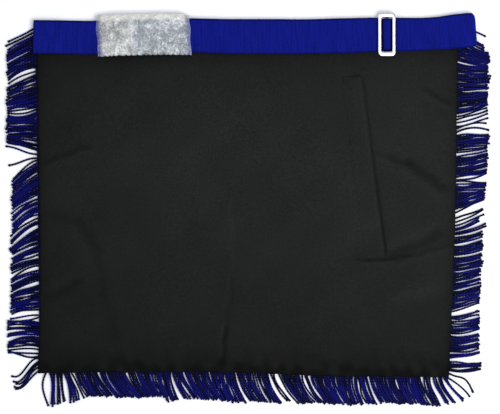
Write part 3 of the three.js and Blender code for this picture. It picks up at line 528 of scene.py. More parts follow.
def link(name, data):
    """A new object with that data, in the scene."""
    thing = bpy.data.objects.new(name, data)
    bpy.context.scene.collection.objects.link(thing)
    return thing


def mesh_object(name, mesh, values):
    """An object at the origin with that mesh and, for each name in values, a number for each point."""
    for key, numbers in values.items():
        layer = mesh.attributes.new(key, "FLOAT", "POINT")
        layer.data.foreach_set("value", np.asarray(numbers, np.float32).ravel())
    return link(name, mesh)


def make_piece(name, points, faces, material, uv=None, **values):
    """A smooth piece of that material. uv has a pair for each point."""
    mesh = bpy.data.meshes.new(name)
    mesh.from_pydata(world(points).tolist(), [], [tuple(map(int, f)) for f in faces])
    mesh.polygons.foreach_set("use_smooth", [True] * len(mesh.polygons))
    if uv is not None:
        corner = np.empty(len(mesh.loops), np.int32)
        mesh.loops.foreach_get("vertex_index", corner)
        layer = mesh.uv_layers.new(name="UVMap")
        layer.data.foreach_set("uv", np.asarray(uv, np.float32)[corner].ravel())
    mesh.materials.append(material)
    mesh.validate()
    return mesh_object(name, mesh, values)


def grid_faces(rows, columns, start=0, around=False, flip=False):
    """Quads over a grid of points. Around joins the last column to the first."""
    i, j = np.meshgrid(np.arange(rows - 1), np.arange(columns - (not around)), indexing="ij")
    k = (j + 1) % columns
    corners = [i * columns + j, (i + 1) * columns + j, (i + 1) * columns + k, i * columns + k]
    quads = np.stack(corners, axis=-1).reshape(-1, 4) + start
    return quads[:, ::-1] if flip else quads


def rim_faces(rim, step):
    """Quads from a closed round of points to the same points one step further on."""
    ahead = np.roll(rim, -1)
    return np.stack([rim, ahead, ahead + step, rim + step], axis=-1)


def closed_sheet(x, y, high, low):
    """The points and faces of a sheet over a grid of places, between two heights."""
    top, bottom = [np.stack(np.broadcast_arrays(x, y, z), -1) for z in (high, low)]
    rows, columns = top.shape[:2]
    count = rows * columns
    rim = np.concatenate(
        [
            np.arange(columns),
            np.arange(1, rows) * columns + columns - 1,
            (rows - 1) * columns + np.arange(columns - 2, -1, -1),
            np.arange(rows - 2, 0, -1) * columns,
        ]
    )
    upper = grid_faces(rows, columns)
    lower = grid_faces(rows, columns, start=count, flip=True)
    points = np.concatenate([top.reshape(-1, 3), bottom.reshape(-1, 3)])
    return points, np.concatenate([upper, lower, rim_faces(rim, count)])


def closed_tube(outer, inner):
    """The points and faces of a tube between two tubes of points, open at its ends."""
    rows, columns = outer.shape[:2]
    count = rows * columns
    mouth = rim_faces(np.arange(columns), count)
    faces = [
        grid_faces(rows, columns, around=True, flip=True),
        grid_faces(rows, columns, start=count, around=True),
        mouth[:, ::-1],
        mouth + count - columns,
    ]
    return np.concatenate([outer.reshape(-1, 3), inner.reshape(-1, 3)]), np.concatenate(faces)


def closed_loft(rings):
    """The points and faces through rings of points, with its ends closed."""
    rows, columns = rings.shape[:2]
    faces = grid_faces(rows, columns, around=True, flip=True).tolist()
    faces.append(list(range(columns)))
    faces.append(list(range(rows * columns - 1, (rows - 1) * columns - 1, -1)))
    return rings.reshape(-1, 3), faces


def finish_piece(piece, slot, *nodes):
    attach(piece, "root")
    if nodes:
        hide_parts(*nodes)


def both_faces(numbers):
    """The same numbers for the points of both faces of a sheet or tube."""
    return np.tile(numbers.ravel(), 2)


# Materials


def add(tree, kind, inputs=None, **settings):
    """A new node's outputs. Its inputs are values or other nodes' outputs."""
    node = tree.nodes.new(kind)
    for key, value in settings.items():
        setattr(node, key, value)
    for key, value in (inputs or {}).items():
        if isinstance(value, bpy.types.NodeSocket):
            tree.links.new(value, node.inputs[key])
        else:
            node.inputs[key].default_value = value
    return node.outputs


def new_material(name, **inputs):
    """A material, its node tree, its shader's inputs with those values, and the place on the object."""
    material = bpy.data.materials.new(name)
    material.use_nodes = True
    tree = material.node_tree
    shader = tree.nodes["Principled BSDF"].inputs
    for key, value in inputs.items():
        shader[key.replace("_", " ")].default_value = value
    return material, tree, shader, add(tree, "ShaderNodeTexCoord")["Object"]


def attribute(tree, name, output="Fac"):
    return add(tree, "ShaderNodeAttribute", attribute_name=name)[output]


def parts_of(tree, vector):
    return add(tree, "ShaderNodeSeparateXYZ", {0: vector})


def math_node(tree, operation, *values):
    return add(tree, "ShaderNodeMath", dict(enumerate(values)), operation=operation)[0]


def times(tree, *values):
    """The first value times the second, plus the third where there is one."""
    return math_node(tree, "MULTIPLY_ADD" if len(values) == 3 else "MULTIPLY", *values)


def mix_colour(tree, factor, first, second):
    """A blend of two colours, each an output or red, green and blue."""
    first, second = [(*c, 1) if isinstance(c, tuple) else c for c in (first, second)]
    return add(tree, "ShaderNodeMix", {0: factor, 6: first, 7: second}, data_type="RGBA")[2]


def spread(tree, value, low, high, new_low=0.0, new_high=1.0):
    """Stretches a value from one range to another and holds it there."""
    inputs = {0: value, 1: low, 2: high, 3: new_low, 4: new_high}
    return add(tree, "ShaderNodeMapRange", inputs, clamp=True)[0]


def waves(tree, value, pitch):
    """A sine from 0 to 1 along a value in metres, with that pitch in mm."""
    turned = times(tree, value, 2000 * math.pi / pitch)
    return times(tree, math_node(tree, "SINE", turned), 0.5, 0.5)


def noise_of(tree, vector, size, detail=2.0, roughness=0.5):
    """Cloudy noise with features of about that size, in metres."""
    inputs = {"Vector": vector, "Scale": 1 / size, "Detail": detail, "Roughness": roughness}
    return add(tree, "ShaderNodeTexNoise", inputs)[0]


def add_bump(tree, shader, height, distance, strength, below=None):
    """Bump for the shader, over the bump below where there is one."""
    inputs = {"Height": height, "Distance": distance, "Strength": strength}
    if below is not None:
        inputs["Normal"] = below
    bump = add(tree, "ShaderNodeBump", inputs)[0]
    tree.links.new(bump, shader["Normal"])
    return bump


def twill(name, with_painted_light=True):
    """Fine twill: diagonal ribs with the threads crossing them. With painted light, its colour is
    scaled by the lining's painted shade and highlight.
    """
    material, tree, shader, place = new_material(
        name, Roughness=0.55, Sheen_Weight=0.01, Sheen_Roughness=0.4, Specular_IOR_Level=0.05
    )
    x, y, _ = parts_of(tree, place)
    wobble = times(tree, noise_of(tree, place, 0.004), 0.0006)
    slanted = math_node(tree, "ADD", math_node(tree, "ADD", x, y), wobble)
    threads = waves(tree, math_node(tree, "SUBTRACT", x, y), TWILL_THREAD)
    weave = times(tree, threads, 0.35, waves(tree, slanted, TWILL_RIB))
    tone = times(tree, noise_of(tree, place, 0.0017, 3.0, 0.7), 1.9, -0.5)
    tone = times(tree, noise_of(tree, place, 0.07), 0.5, tone)
    tone = times(tree, weave, 0.12, tone)
    shade = mix_colour(tree, spread(tree, tone, 0.3, 1.2), *TWILL_COLOURS)
    # Painted light: the colour is scaled by the painted shade and highlight kept on the lining's points
    if with_painted_light:
        nap = attribute(tree, "nap")
        shade = add(tree, "ShaderNodeVectorMath", {0: shade, 3: nap}, operation="SCALE")[0]
    tree.links.new(shade, shader["Base Color"])
    slack = add_bump(tree, shader, noise_of(tree, place, 0.006, 3.0), 0.0004, 0.35)
    add_bump(tree, shader, weave, 0.00012, 0.7, slack)
    return material


def shadow_beside_legs(tree, place):
    """Painted shadow on the webbing close to the legs of the slide, on either side of them: 1 away from
    them, darker near them.
    """
    x = parts_of(tree, place)[0]
    offset = math_node(tree, "SUBTRACT", x, (SLIDER_MIDDLE + BODY_MIDDLE[0]) / 1000)
    offset = math_node(tree, "ABSOLUTE", offset)
    inner, outer, reach = SLIDER_OPENING / 2000, SLIDER_WIDTH / 2000, LEG_SHADE / 1000
    inside = spread(tree, offset, inner - 1.3 * reach, inner - 0.3 * reach, 1.0, 0.0)
    return math_node(tree, "MAXIMUM", inside, spread(tree, offset, outer, outer + reach))


def webbing_cloth(name):
    """Ribbed webbing: ribs run across the strap, with the warp threads over them."""
    material, tree, shader, place = new_material(
        name,
        Roughness=0.7,
        Sheen_Weight=0.006,
        Sheen_Roughness=0.5,
        Sheen_Tint=(0.25, 0.35, 1, 1),
        Specular_IOR_Level=0.03,
    )
    uv = add(tree, "ShaderNodeUVMap", uv_map="UVMap")[0]
    along, across, _ = parts_of(tree, uv)
    uneven = times(tree, noise_of(tree, uv, 0.006), 0.0007)
    ribs = waves(tree, math_node(tree, "ADD", along, uneven), WEBBING_RIB)
    weave = times(tree, waves(tree, across, WEBBING_WARP), 0.3, ribs)
    drawn_out = add(tree, "ShaderNodeCombineXYZ", {0: along, 1: times(tree, across, 0.08)})[0]
    tone = times(tree, noise_of(tree, drawn_out, 0.0022, 3.0), 0.5, times(tree, weave, 0.25))
    tone = times(tree, noise_of(tree, uv, 0.0016, 3.0, 0.7), 0.75, tone)
    half = BELT_WIDTH / 2000
    from_edge = math_node(tree, "SUBTRACT", half, math_node(tree, "ABSOLUTE", across))
    # Darker at the selvedges, with painted shade along the upper edge and a painted shadow beside the
    # slide's legs
    selvedge_and_shade = spread(tree, from_edge, 0.0004, 0.0026, 0.55, 1.0)
    selvedge_and_shade = times(tree, selvedge_and_shade, spread(tree, across, half - 0.002, half - 0.0006, 1.0, 0.0))
    selvedge_and_shade = times(tree, selvedge_and_shade, shadow_beside_legs(tree, place))
    tone = times(tree, spread(tree, tone, 0.45, 1.05), selvedge_and_shade)
    tree.links.new(mix_colour(tree, tone, *WEBBING_COLOURS), shader["Base Color"])
    add_bump(tree, shader, weave, 0.00022, 0.8)
    return material


def twisted_cord(name):
    """Twisted cord: the turn attribute holds the place round the cord and along it."""
    material, tree, shader, place = new_material(
        name,
        Roughness=0.42,
        Sheen_Weight=0.08,
        Sheen_Roughness=0.3,
        Sheen_Tint=(0.3, 0.35, 1, 1),
        Specular_IOR_Level=0.1,
        Specular_Tint=(0.55, 0.58, 1, 1),
    )
    sideways, upward, along = parts_of(tree, attribute(tree, "cord_turn", "Vector"))
    angle = math_node(tree, "ARCTAN2", upward, sideways)
    strands = times(tree, along, 2000 * math.pi / CORD_TWIST)
    # The plies' stripes darken the grooves between them: the twist's pattern with painted shade
    ply = times(tree, math_node(tree, "SINE", times(tree, angle, 2.0, strands)), 0.5, 0.5)
    shade = attribute(tree, "cord_shade")
    wear = spread(tree, noise_of(tree, place, 0.005, 3.0), 0.3, 0.7, 0.55, 1.25)
    tone = times(tree, ply, times(tree, shade, 0.6, 0.15), times(tree, shade, wear))
    tree.links.new(mix_colour(tree, tone, *CORD_COLOURS), shader["Base Color"])
    add_bump(tree, shader, ply, 0.00025, 0.9)
    return material


def plated_metal(name):
    """Bright plating with faint wear and casting marks."""
    material, tree, shader, place = new_material(
        name, Metallic=1.0, Roughness=0.2, Specular_IOR_Level=0.5
    )
    haze = noise_of(tree, place, 0.004, 4.0, 0.6)
    tree.links.new(mix_colour(tree, haze, *METAL_COLOURS), shader["Base Color"])
    tree.links.new(spread(tree, haze, 0.3, 0.7, 0.14, 0.32), shader["Roughness"])
    add_bump(tree, shader, noise_of(tree, place, 0.003), 0.00004, 0.3)
    return material


def bubble_film(name):
    """Crinkled clear film in several layers: milky where they lie on each other, thin at the mouths.
    Its colour carries painted light: highlights where it is folded white, light where it hangs over the
    table, and glints and highlights along its crinkles.
    """
    material, tree, shader, place = new_material(
        name, Roughness=0.16, Specular_IOR_Level=0.7, Coat_Weight=0.4, Coat_Roughness=0.12
    )
    layers = attribute(tree, "film_layers")
    stray = add(tree, "ShaderNodeTexNoise", {"Vector": place, "Scale": 160})[1]
    cells = {"Vector": mix_colour(tree, 0.12, place, stray), "Scale": 420}
    crinkle = add(tree, "ShaderNodeTexVoronoi", cells, feature="DISTANCE_TO_EDGE")[0]
    patches = noise_of(tree, place, 0.011, 3.0, 0.6)
    uneven = mix_colour(tree, 0.68, patches, noise_of(tree, place, 0.0019, 3.0, 0.75))
    blotches = spread(tree, uneven, 0.38, 0.62)
    cool, buff = [mix_colour(tree, blotches, *pair) for pair in (COOL_FILM, BUFF_FILM)]
    tint = mix_colour(tree, attribute(tree, "film_warmth"), cool, buff)
    # Whiter where the film is folded: partly its milky layers, partly a painted highlight
    white = times(tree, attribute(tree, "film_white_and_highlight"), spread(tree, uneven, 0.4, 0.6, 0.15, 0.95))
    tint = mix_colour(tree, white, tint, WHITE_AND_HIGHLIGHT_FILM)
    tint = mix_colour(tree, spread(tree, layers, 0.2, 0.9, 0.85, 0.0), tint, SINGLE_FILM)
    tint = mix_colour(tree, times(tree, attribute(tree, "film_painted_light"), 0.85), tint, PALE_PAINTED_LIGHT_FILM)
    # Painted glints: bright highlights along the crinkles, in patches
    glints = spread(tree, crinkle, 0.0, 0.09, 1.0, 0.0)
    glints = times(tree, glints, spread(tree, patches, 0.48, 0.62, 0.1, 1.0))
    tint = mix_colour(tree, glints, tint, GLINTING_FILM)
    # Painted highlights along the film's crinkles, as thin bright curves
    curl_highlights = math_node(tree, "SUBTRACT", noise_of(tree, place, 0.0046, 1.0), 0.5)
    curl_highlights = spread(tree, math_node(tree, "ABSOLUTE", curl_highlights), 0.0, 0.036, 0.85, 0.0)
    curl_highlights = times(tree, curl_highlights, spread(tree, patches, 0.4, 0.6, 0.25, 0.95))
    tree.links.new(mix_colour(tree, curl_highlights, tint, CURL_HIGHLIGHT_FILM), shader["Base Color"])
    tree.links.new(layers, shader["Alpha"])
    folds = add_bump(tree, shader, uneven, 0.001, 0.6)
    add_bump(tree, shader, crinkle, 0.0006, 0.5, folds)
    return material


def pale_hide(name):
    """Smooth white hide with a fine pebbled grain."""
    material, tree, shader, place = new_material(name, Roughness=0.5, Specular_IOR_Level=0.4)
    cells = {"Vector": place, "Scale": 900}
    pebbles = add(tree, "ShaderNodeTexVoronoi", cells, feature="SMOOTH_F1")[0]
    clouds = noise_of(tree, place, 0.03, 4.0)
    tree.links.new(mix_colour(tree, clouds, *HIDE_COLOURS), shader["Base Color"])
    tree.links.new(spread(tree, clouds, 0.3, 0.7, 0.42, 0.58), shader["Roughness"])
    add_bump(tree, shader, pebbles, 0.00025, 0.5)
    return material


def clouded(name, colours, size, **inputs):
    """A plain material between two colours, in clouds of that size in metres."""
    material, tree, shader, place = new_material(name, **inputs)
    tree.links.new(mix_colour(tree, noise_of(tree, place, size), *colours), shader["Base Color"])
    return material


lining_cloth = twill("black_twill")
bag_cloth = twill("black_bag_twill", with_painted_light=False)
webbing = webbing_cloth("ribbed_webbing")
cord = twisted_cord("twisted_cord")
metal = plated_metal("bright_plating")
film = bubble_film("bubble_film")
hide = pale_hide("pale_hide")
thread = clouded("black_thread", THREAD_COLOURS, 0.0006, Roughness=0.6, Specular_IOR_Level=0.06)
table_top = clouded("white_table", TABLE_COLOURS, 0.2, Roughness=0.7, Specular_IOR_Level=0.2)


# Lining, front and pocket

POCKET_MIDDLE = np.array(body_point(POCKET_ACROSS, POCKET_UP)) + (POCKET_CREEP, 0)
POCKET_DOWN = np.array([math.sin(POCKET_SLANT), -math.cos(POCKET_SLANT)])
POCKET_RIGHT = np.array([math.cos(POCKET_END_SLANT), math.sin(POCKET_END_SLANT)])
POCKET_TURN = np.linalg.inv(np.column_stack([POCKET_DOWN, POCKET_RIGHT]))


def pocket_place(x, y):
    """Distances down the pocket's opening and to its right."""
    dx, dy = x - POCKET_MIDDLE[0], y - POCKET_MIDDLE[1]
    return [turn[0] * dx + turn[1] * dy for turn in POCKET_TURN]


def pocket_point(down, right):
    """The x and y of a place on the pocket, the other way round."""
    return [POCKET_MIDDLE[k] + down * POCKET_DOWN[k] + right * POCKET_RIGHT[k] for k in (0, 1)]


def along_crease(x, y, row):
    """Distances along a crease and off its middle line, and its length."""
    start, end = np.array(body_point(row[0], row[1])), np.array(body_point(row[2], row[3]))
    length = math.dist(start, end)
    ahead = (end - start) / length
    dx, dy = x - start[0], y - start[1]
    return dx * ahead[0] + dy * ahead[1], dx * ahead[1] - dy * ahead[0], length


def crease_heights(x, y):
    """How far all the creases dip, and rise beside themselves."""
    total = 0
    for row in CREASES:
        along, off, length = along_crease(x, y, row)
        width, depth, ridge = row[4:]
        bend = 1.2 * ripples(along, 0, 26, int(row[0] * 1000), 3)
        off = (off + bend) / width
        side = 1 if ridge > 0 else -1
        relief = abs(ridge) * hump(off - side * 1.9, 1.5) - depth * hump(off, 1)
        total = total + between(along, -2 * width, width, length - width, length + 2 * width) * relief
    return total


def lining_relief(x, y):
    """How high the lining's upper face stands over its seat at the seams."""
    across, up = body_shares(x, y)
    relief = 0.35 * PUFF_HEIGHT
    for place, height, wide, tall, share in SWELLS:
        relief = relief + share * PUFF_HEIGHT * hump(across - place, wide) * hump(up - height, tall)
    relief = relief + 0.3 * ripples(x, y, 90, 3) + 0.14 * ripples(x, y, 34, 4)
    relief = relief + crease_heights(x, y)
    from_side = np.minimum(across, 1 - across) * BODY_WIDTH
    from_bottom = up * BODY_HEIGHT
    relief = relief + 0.34 * ripples(y, 0, 15, 5, 4) * fade(from_side, 9)
    relief = relief + 0.45 * ripples(x, 0, 17, 6, 4) * fade(from_bottom, 12)
    sides = 1 - np.exp(-((np.maximum(from_side, 0) / 5) ** 1.2))
    bottom = 1 - np.exp(-((np.maximum(from_bottom, 0) / 8) ** 1.2))
    relief = np.maximum(relief, 0.05) * sides * bottom
    relief = relief * smoothstep(belt_lower_edge(x) - y, -1, 16)
    down, right = pocket_place(x, y)
    half = POCKET_OPENING / 2
    inside = 1 - smoothstep(np.abs(down), half - 2, half + 3)
    relief = relief * (1 - 0.85 * hump(right - 0.9, 1.3) * inside)
    past_end = half + WELT_END + 0.9
    top_seam = hump(down + past_end, 0.8) * between(right, -12, -10.5, -2, -0.5)
    bottom_seam = hump(down - past_end + 0.003 * (right + 4) ** 2, 0.9)
    bottom_seam = bottom_seam * between(right, -34, -22, 14, 26)
    return np.maximum(relief - 1.3 * top_seam - bottom_seam, 0.02)


def lining_height(x, y):
    return LINING_TOP + lining_relief(x, y)


def seam_shade(x, y):
    """Painted shade and highlight that the pocket adds: a painted shadow along its opening, a painted
    highlight on the roll left of it, a faint dark line at its left seam, dark corners and a painted
    shadow at the top end of the welt.
    """
    down, right = pocket_place(x, y)
    half = POCKET_OPENING / 2 + WELT_END
    roll = 0.16 * hump(right + 2.6, 1.3)
    left_seam = 0.05 * hump(right + WELT_WIDTH, 0.9)
    line = (0.16 + 0.24 * smoothstep(down, -40, 0)) * hump(right - 0.4, 0.75)
    shadow = 0.09 * smoothstep(right, 0, 0.8) * fade(right, 4)
    along = between(down, -half, -half + 4, half - 3, half + 1)
    corner = hump(right + WELT_WIDTH - 1.2, 0.9)
    corner = corner * between(down, -half - 2, -half, -half + 4, -half + 8)
    bar = hump(down + half, 1.3) * between(right, -13, -11, -3, -1.5)
    return 1 + along * (roll - left_seam - line - shadow) - 0.32 * corner - 0.3 * bar


def nap_of(x, y):
    """Painted light on the twill, as a share of its colour: painted shade at its edges, under the belt
    and the sleeve and in its folds, and the pocket's painted shade and highlight.
    """
    across, up = body_shares(x, y)
    # Painted light: darker to the left and towards the bottom, lighter up and to the right
    nap = read(PAINTED_LIGHT_ACROSS, 1, across + 0.02 * ripples(x, y, 80, 14, 4))
    nap = nap * (0.97 + 0.04 * ripples(x, y, 55, 16, 5))
    patches = 0.02 * ripples(x, y, 18, 15, 6) * fade(up * BODY_HEIGHT, 25)
    nap = nap * read(PAINTED_LIGHT_UP, 1, up + patches)
    # Painted shade at the rolled edges, under the belt's lower edge, under the sleeve and in the upper
    # left corner
    nap = nap * (1 - 0.66 * fade(across * BODY_WIDTH, 3.4))
    nap = nap * (1 - 0.6 * fade((1 - across) * BODY_WIDTH, 5))
    nap = nap * (1 - 0.4 * fade(belt_lower_edge(x) - y, 16))
    under_sleeve = between(x, SLEEVE_LEFT - 3, SLEEVE_LEFT + 3, SLEEVE_RIGHT - 3, SLEEVE_RIGHT + 3)
    nap = nap * (1 - 0.3 * under_sleeve * fade(belt_middle(x) - CLASP_WIDTH / 2 - y, 4))
    nap = nap * (1 - 0.1 * fade(across, 0.15) * smoothstep(up, 0.5, 0.8))
    # Painted shade in the creases, lighter on the ridges beside them
    folds = np.clip(crease_heights(x, y), -2, 0.8)
    return np.clip(nap * (1 + 0.31 * folds) * seam_shade(x, y), 0, 1.4)


def graded(length, spacing, close=(0.35, 0.9, 1.8, 3.2)):
    """Shares from 0 to 1, close together near both ends."""
    near = np.array([0, *close])
    middle = np.linspace(close[-1], length - close[-1], round(length / spacing))
    return np.concatenate([near[:-1], middle, length - near[:-1][::-1]]) / length


def rounded_rim(across, up, radius, width, height):
    """How far a sheet's face comes down at its rim, as a share of the radius."""
    edge = np.minimum(np.minimum(across, 1 - across) * width, np.minimum(up, 1 - up) * height)
    inside = np.clip(edge / radius, 0, 1)
    return 1 - np.sqrt(np.clip(1 - (1 - inside) ** 2, 0, 1))


def closer(shares, low, high, spacing):
    """The same shares, with closer ones between low and high."""
    added = np.linspace(low, high, round((high - low) / spacing))
    outside = (shares < low - spacing / 2) | (shares > high + spacing / 2)
    return np.sort(np.concatenate([shares[outside], added]))


def make_lining():
    wide = closer(graded(BODY_WIDTH, LINING_STEP), 0.765, 0.86, CLOSE_STEP / BODY_WIDTH)
    tall = graded(BODY_HEIGHT, LINING_STEP)
    for end in (-1, 1):
        _, up_end = body_shares(*pocket_point(end * POCKET_OPENING / 2, -WELT_WIDTH / 2))
        tall = closer(tall, up_end - 0.018, up_end + 0.018, CLOSE_STEP / BODY_HEIGHT)
    across, up = np.meshgrid(wide, tall, indexing="ij")
    from_left, from_right = across * BODY_WIDTH, (1 - across) * BODY_WIDTH
    x, y = body_point(across, up)
    uneven = 0.4 * ripples(x, 0, 17, 7, 5) * fade(up * BODY_HEIGHT, 6)
    x = x + 0.25 * ripples(y, 0, 21, 9, 5) * (fade(from_left, 6) - fade(from_right, 6))
    y = y + uneven
    # The lining's painted shade and highlight, read before its left edge is drawn in
    nap = both_faces(nap_of(x, y))
    x = x + read(LEFT_DRAW, 1, up) * fade(from_left, 30)
    rim = rounded_rim(across, up, 1.6, BODY_WIDTH, BODY_HEIGHT)
    top = lining_height(x, y) - rim * (LINING_THICKNESS - 0.25)
    bottom = np.maximum(top - LINING_THICKNESS * (1 - 0.8 * rim), LINING_SEAT - 0.02)
    piece = make_piece("lining_sheet", *closed_sheet(x, y, top, bottom), lining_cloth, nap=nap)
    finish_piece(piece, "lining_cloth", "lining")


def make_front():
    across, up = np.meshgrid(
        graded(BODY_WIDTH, FRONT_STEP), graded(BODY_HEIGHT, FRONT_STEP), indexing="ij"
    )
    inner_across = FRONT_INSET / BODY_WIDTH + across * (1 - 2 * FRONT_INSET / BODY_WIDTH)
    inner_up = FRONT_INSET / BODY_HEIGHT + up * (1 - 2 * FRONT_INSET / BODY_HEIGHT)
    x, y = body_point(inner_across, inner_up)
    rim = rounded_rim(across, up, 0.8, BODY_WIDTH, BODY_HEIGHT) * FRONT_THICKNESS / 2
    piece = make_piece("front_sheet", *closed_sheet(x, y, FRONT_THICKNESS - rim, rim), hide)
    finish_piece(piece, "front_hide", "front_panel")


def make_welt():
    """The folded strip over the pocket: pressed down on the left, open along its right edge."""
    half = POCKET_OPENING / 2 + WELT_END
    down = graded(2 * half, WELT_STEP) * 2 * half - half
    right = graded(WELT_WIDTH, WELT_EDGE_STEP, (0.15, 0.4, 0.8)) * WELT_WIDTH - WELT_WIDTH
    down, right = np.meshgrid(down, right[::-1], indexing="ij")
    wave = 0.35 * ripples(down, 0, 60, 8, 3) * smoothstep(right, -WELT_WIDTH, 0)
    x, y = pocket_point(down, right + wave)
    from_end = half - np.abs(down)
    open_edge = 0.5 * fade(-right, 4) * smoothstep(from_end, 2, 22)
    pressed = 0.12 + 0.88 * smoothstep(WELT_WIDTH + right, 0, 11)
    thick = WELT_THICKNESS * pressed * (0.35 + 0.65 * smoothstep(from_end, 0, 7))
    roll = 1 - np.clip(-right / 0.7, 0, 1)
    roll = 0.5 * WELT_THICKNESS * (1 - np.sqrt(1 - roll**2))
    beside = pocket_point(down, np.minimum(right, -1.5) + wave)
    ground = np.maximum(lining_height(*beside) + open_edge, lining_height(x, y)) + 0.06
    sheet = closed_sheet(x, y, ground + thick - roll, ground + np.minimum(roll, 0.4 * thick))
    # The welt gets the same painted shade and highlight as the lining
    nap = both_faces(nap_of(x, y))
    piece = make_piece("pocket_welt_strip", *sheet, lining_cloth, nap=nap)
    finish_piece(piece, "lining_cloth", "pocket_welt")


# Belt


def rounded(corners):
    """A side view with its corners turned into short curves."""
    corners = [np.array(c, float) for c in corners]
    path = [corners[0]]
    for before, here, after in zip(corners, corners[1:], corners[2:]):
        back, on = before - here, after - here
        a = min(BEND_RADIUS, np.linalg.norm(back) / 2.02)
        b = min(BEND_RADIUS, np.linalg.norm(on) / 2.02)
        start = here + back / np.linalg.norm(back) * a
        end = here + on / np.linalg.norm(on) * b
        for t in np.linspace(0, 1, BEND_CUTS + 1):
            path.append((1 - t) ** 2 * start + 2 * t * (1 - t) * here + t**2 * end)
    path.append(corners[-1])
    return np.array(path)


def filled(path, step):
    """The same path with more points on its long stretches."""
    result = [path[0]]
    for a, b in zip(path, path[1:]):
        count = max(1, math.ceil(np.linalg.norm(b - a) / step))
        result.extend(a + (b - a) * (k + 1) / count for k in range(count))
    return np.array(result)


LEFT_BELT_PATH = [
    (LEFT_FOLD + BELT_TAIL, belt_layer(0)),
    (LEFT_FOLD + BELT_THICKNESS / 2, belt_layer(0)),
    (LEFT_FOLD + BELT_THICKNESS / 2, belt_layer(0) + FOLD_RISE),
    (LEFT_FOLD + BELT_TAIL, belt_layer(1)),
    (LEFT_FOLD + BELT_TAIL + EASE, belt_layer(0)),
    (SLEEVE_LEFT - EASE, belt_layer(0)),
    (SLEEVE_LEFT, UNDER_CLASP),
    (CLASP_LEFT_SLOT - CLASP_BAR - CLASP_TAIL, UNDER_CLASP + BELT_THICKNESS + GAP),
    (CLASP_LEFT_SLOT - CLASP_BAR - CLASP_SLOT, OVER_CLASP),
    (CLASP_LEFT_SLOT, OVER_CLASP),
    (CLASP_LEFT_SLOT, UNDER_CLASP),
    (CLASP_LEFT_SLOT - CLASP_TAIL, UNDER_CLASP),
]
RIGHT_BELT_PATH = [
    (RIGHT_FOLD - BELT_OVERHANG - BELT_TAIL, belt_layer(0)),
    (RIGHT_FOLD - BELT_THICKNESS / 2, belt_layer(0) + 0.3 * FOLD_RISE),
    (RIGHT_FOLD - BELT_THICKNESS / 2, belt_layer(0) + 1.6 * FOLD_RISE),
    (RIGHT_FOLD - BELT_OVERHANG, belt_layer(1) + 0.5 * FOLD_RISE),
    (RIGHT_FOLD - BELT_OVERHANG - BELT_TAIL, belt_layer(1)),
    (RIGHT_FOLD - BELT_OVERHANG - BELT_TAIL - EASE, belt_layer(0)),
    (SLIDER_MIDDLE + SLIDER_WIDTH / 2 + EASE, belt_layer(0)),
    (SLIDER_MIDDLE + SLIDER_WIDTH / 2, belt_layer(1)),
    (SLIDER_MIDDLE + HUMP_SIDE, belt_layer(1)),
    (SLIDER_MIDDLE + HUMP_SIDE, HUMP_TOP),
    (SLIDER_MIDDLE - HUMP_SIDE, HUMP_TOP),
    (SLIDER_MIDDLE - HUMP_SIDE, belt_layer(1)),
    (SLEEVE_RIGHT + EASE, belt_layer(1)),
    (SLEEVE_RIGHT, UNDER_CLASP + BELT_THICKNESS + GAP),
    (CLASP_RIGHT_SLOT + CLASP_BAR + CLASP_SLOT, OVER_CLASP),
    (CLASP_RIGHT_SLOT, OVER_CLASP),
    (CLASP_RIGHT_SLOT, UNDER_CLASP),
    (SLEEVE_RIGHT, UNDER_CLASP),
    (SLEEVE_RIGHT + EASE, belt_layer(0)),
    (SLIDER_MIDDLE + LOOP_SIDE, belt_layer(0)),
    (SLIDER_MIDDLE + LOOP_SIDE, LOOP_TOP),
    (SLIDER_MIDDLE - LOOP_SIDE, LOOP_TOP),
    (SLIDER_MIDDLE - LOOP_SIDE, BAR_TOP - SLIDER_BAR_THICKNESS / 2),
]


def belt_half(x):
    """Half the webbing's width, drawn in at its fittings and a little at its folds."""
    at_clasp = 1 - smoothstep(np.abs(x - CLASP_MIDDLE), CLASP_LENGTH / 2, CLASP_LENGTH / 2 + EASE)
    at_slider = 1 - smoothstep(np.abs(x - SLIDER_MIDDLE), SLIDER_OPENING / 2, SLIDER_WIDTH / 2)
    pinch = np.maximum(at_clasp, at_slider)
    folds = 1.1 * fade(np.abs(x - RIGHT_FOLD), 1.6) + 0.55 * fade(np.abs(x - LEFT_FOLD), 1.2)
    narrower = read(BELT_LINE, 2, x / BODY_WIDTH) / 2
    return BELT_WIDTH / 2 * (1 - BELT_PINCH * pinch) - np.maximum(folds, narrower)


